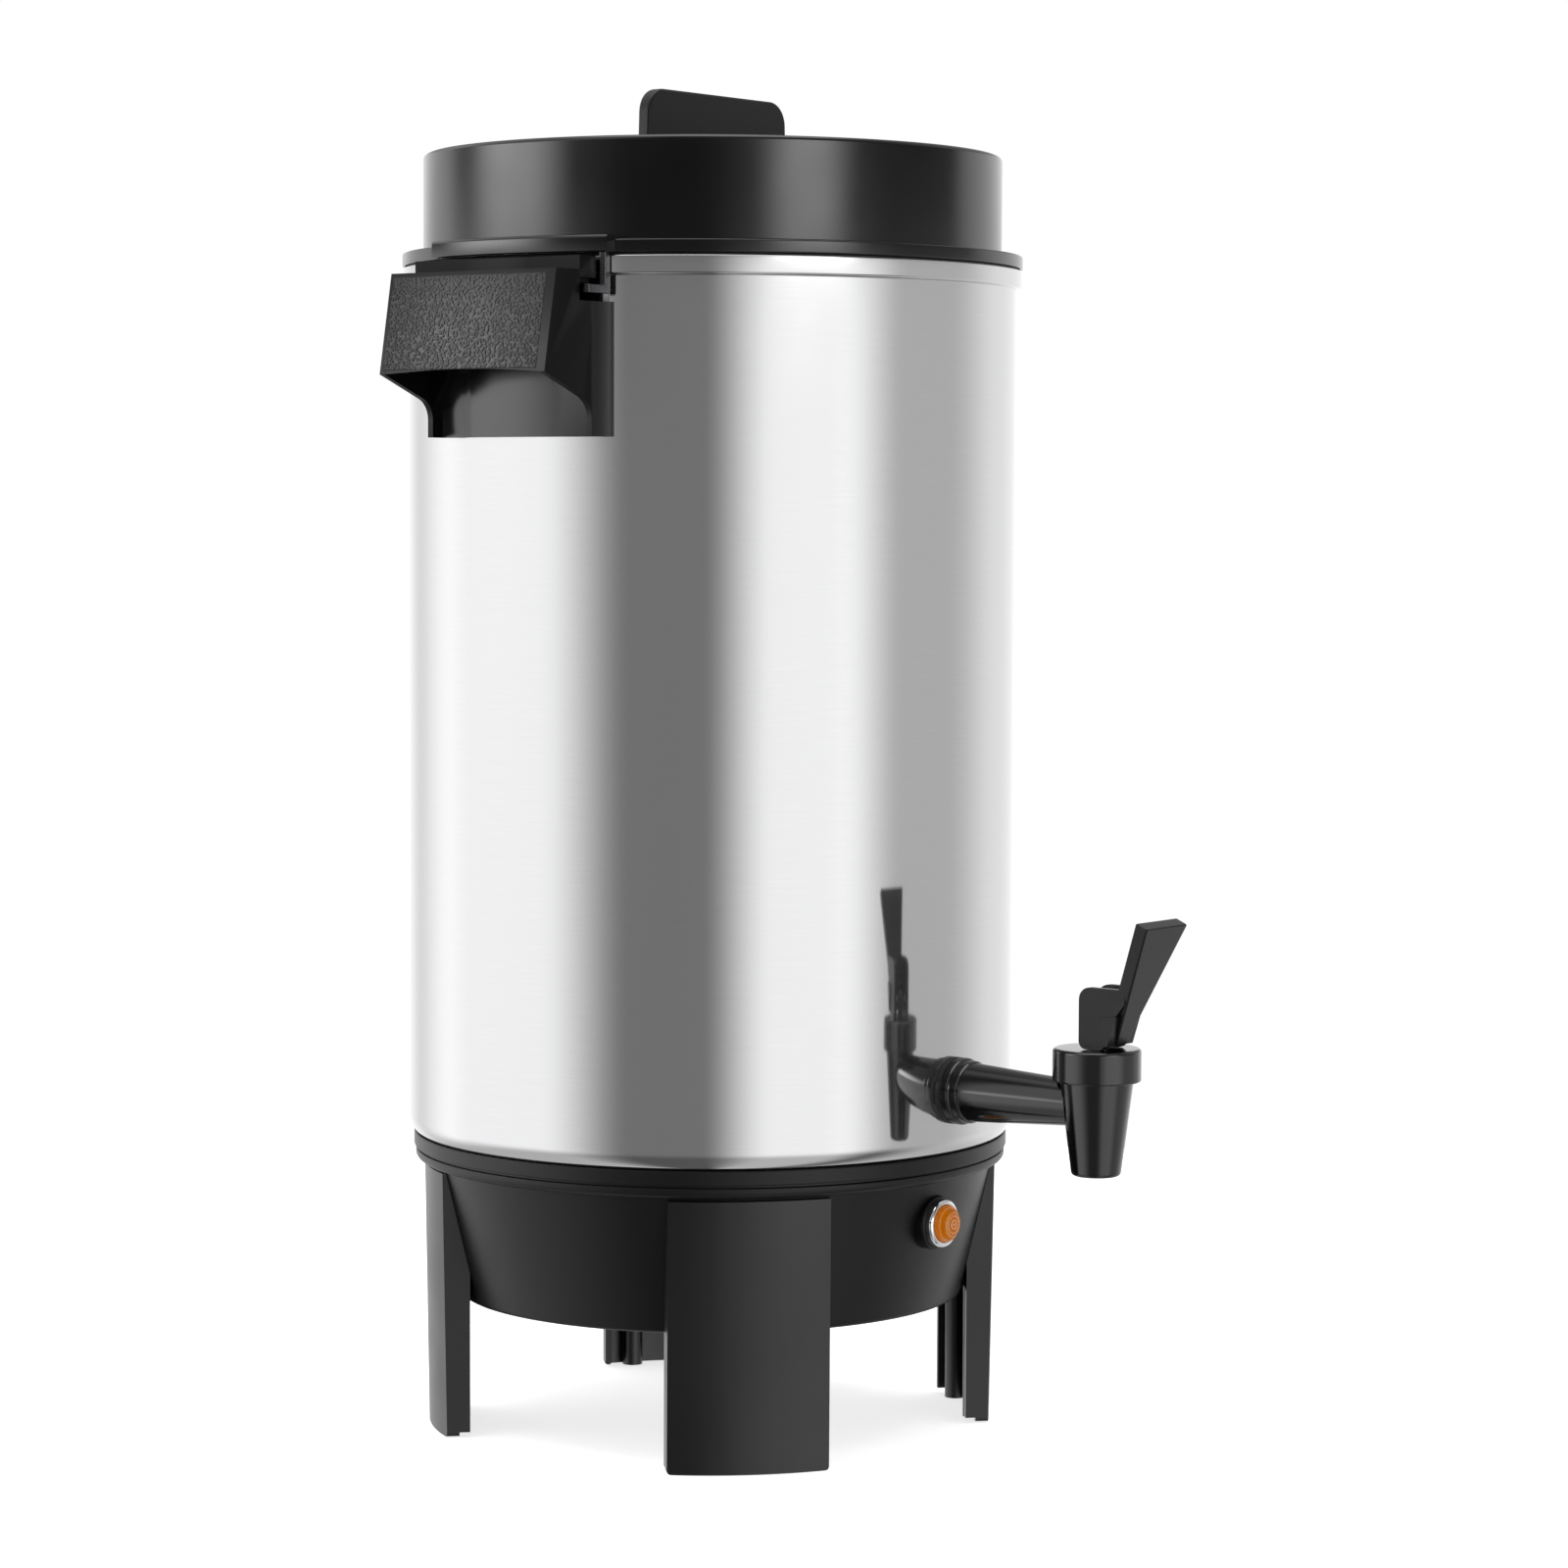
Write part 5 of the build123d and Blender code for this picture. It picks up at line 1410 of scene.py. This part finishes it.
@dataclass
class Studio:
    """White sweep in a room lit by tall softboxes, each zone above the one before it."""

    zones: tuple = (
        Zone((-1.0, -1.0), 0.14, (
            Softbox(-141.5, 22.0, 38.0, 0.6),
            Softbox(-15.5, 12.0, 28.0, 0.65),
            Softbox(106.0, 50.0, 40.0, 0.6),
        )),
        Zone((-0.6, -0.25), 0.27, (
            Softbox(-141.5, 22.0, 38.0, 1.3),
            Softbox(-15.5, 12.0, 28.0, 1.3),
            Softbox(86.0, 62.0, 35.0, 0.45),
            Softbox(126.5, 45.0, 35.0, 0.47),
        )),
        Zone((0.058, 0.072), 0.07, (
            Softbox(-135.5, 6.0, 24.0, 6.8),
            Softbox(-14.5, 4.0, 18.0, 7.4),
            Softbox(123.5, 55.0, 14.0, 1.2),
        )),
        Zone((0.13, 0.25), 0.24, (
            Softbox(-138.0, 30.0, 40.0, 0.95),
            Softbox(-15.5, 20.0, 30.0, 0.15),
            Softbox(113.0, 60.0, 40.0, 0.4),
        )),
        Zone((0.84, 0.92), 3.0),
    )
    floor_radius: float = 0.8
    floor_drop: float = 0.0005
    floor_colour: str = "#d8d8d8"
    floor_glow: float = 0.75

    def build(self) -> None:
        """Add the room and the floor."""
        self.surround()
        self.floor()
        bpy.context.scene.view_settings.view_transform = "Standard"

    def surround(self) -> None:
        """World that holds the softboxes, and looks white to the camera."""
        world = bpy.data.worlds.new("studio")
        bpy.context.scene.world = world
        world.use_nodes = True
        tree = world.node_tree
        tree.nodes.clear()
        toward = add_node(tree, "TexCoord").outputs["Generated"]
        axes = add_node(tree, "SeparateXYZ", {"Vector": toward}).outputs
        ahead = add_node(tree, "Math", {0: axes["Y"]}, {1: -1.0}, operation="MULTIPLY")
        bearing = add_node(tree, "Math", {0: axes["X"], 1: ahead}, operation="ARCTAN2")
        level = self.zones[0].light(tree, bearing)
        for zone in self.zones[1:]:
            ends = between(*zone.start)
            share = add_node(tree, "MapRange", {"Value": axes["Z"]}, ends, interpolation_type="SMOOTHSTEP")
            level = add_node(tree, "Mix", {"Factor": share, "A": level, "B": zone.light(tree, bearing)})
        room = add_node(tree, "Background", {"Strength": level}, {"Color": linear(WHITE)})
        white = add_node(tree, "Background", inputs={"Color": linear(WHITE), "Strength": 1.0})
        shown = add_node(tree, "MixShader", {0: self.seen_direct(tree), 1: room, 2: white})
        add_node(tree, "OutputWorld", {"Surface": shown})

    @staticmethod
    def seen_direct(tree: Tree) -> Node:
        """1 where the camera looks straight, or through something clear.

        Args:
            tree: Node tree of the world or of a stage material.

        Returns:
            The mask.
        """
        rays = add_node(tree, "LightPath").outputs
        links = {0: rays["Is Camera Ray"], 1: rays["Is Transmission Ray"]}
        return add_node(tree, "Math", links, operation="MAXIMUM")

    def floor(self) -> None:
        """Round floor that looks white, keeps a faint shadow and doesn't show in mirrors."""
        work = Workpiece()
        bmesh.ops.create_circle(work.bm, cap_ends=True, segments=POT_STEPS, radius=self.floor_radius)
        bmesh.ops.translate(work.bm, vec=(0, 0, -self.floor_drop), verts=work.bm.verts)
        floor = work.as_object("floor")
        # Matt paper: white to the camera, with the urn's soft shadow on it.
        material = bpy.data.materials.new("Paper sweep, matt white")
        material.use_nodes = True
        tree = material.node_tree
        tree.nodes.clear()
        paper = add_node(tree, "BsdfDiffuse", inputs={"Color": linear(self.floor_colour)})
        glow = add_node(tree, "Emission", inputs={"Color": linear(WHITE), "Strength": self.floor_glow})
        none = add_node(tree, "Emission", inputs={"Strength": 0.0})
        lit = add_node(tree, "MixShader", {0: self.seen_direct(tree), 1: none, 2: glow})
        both = add_node(tree, "AddShader", {0: paper, 1: lit})
        mirrored = add_node(tree, "LightPath").outputs["Is Glossy Ray"]
        clear = add_node(tree, "BsdfTransparent")
        shown = add_node(tree, "MixShader", {0: mirrored, 1: both, 2: clear})
        add_node(tree, "OutputMaterial", {"Surface": shown})
        floor.data.materials.append(material)


def main() -> None:
    """Build the urn and its studio."""
    logging.basicConfig(level=logging.INFO, format="%(name)s: %(message)s")
    Camera().build()
    for assembly in (Tank(), Base(), Handles(), Lid(), Tap(), PilotLight(), Fittings()):
        assembly.build()
        log.info("%s built", type(assembly).__name__)
    Studio().build()


if __name__ == "__main__":
    main()
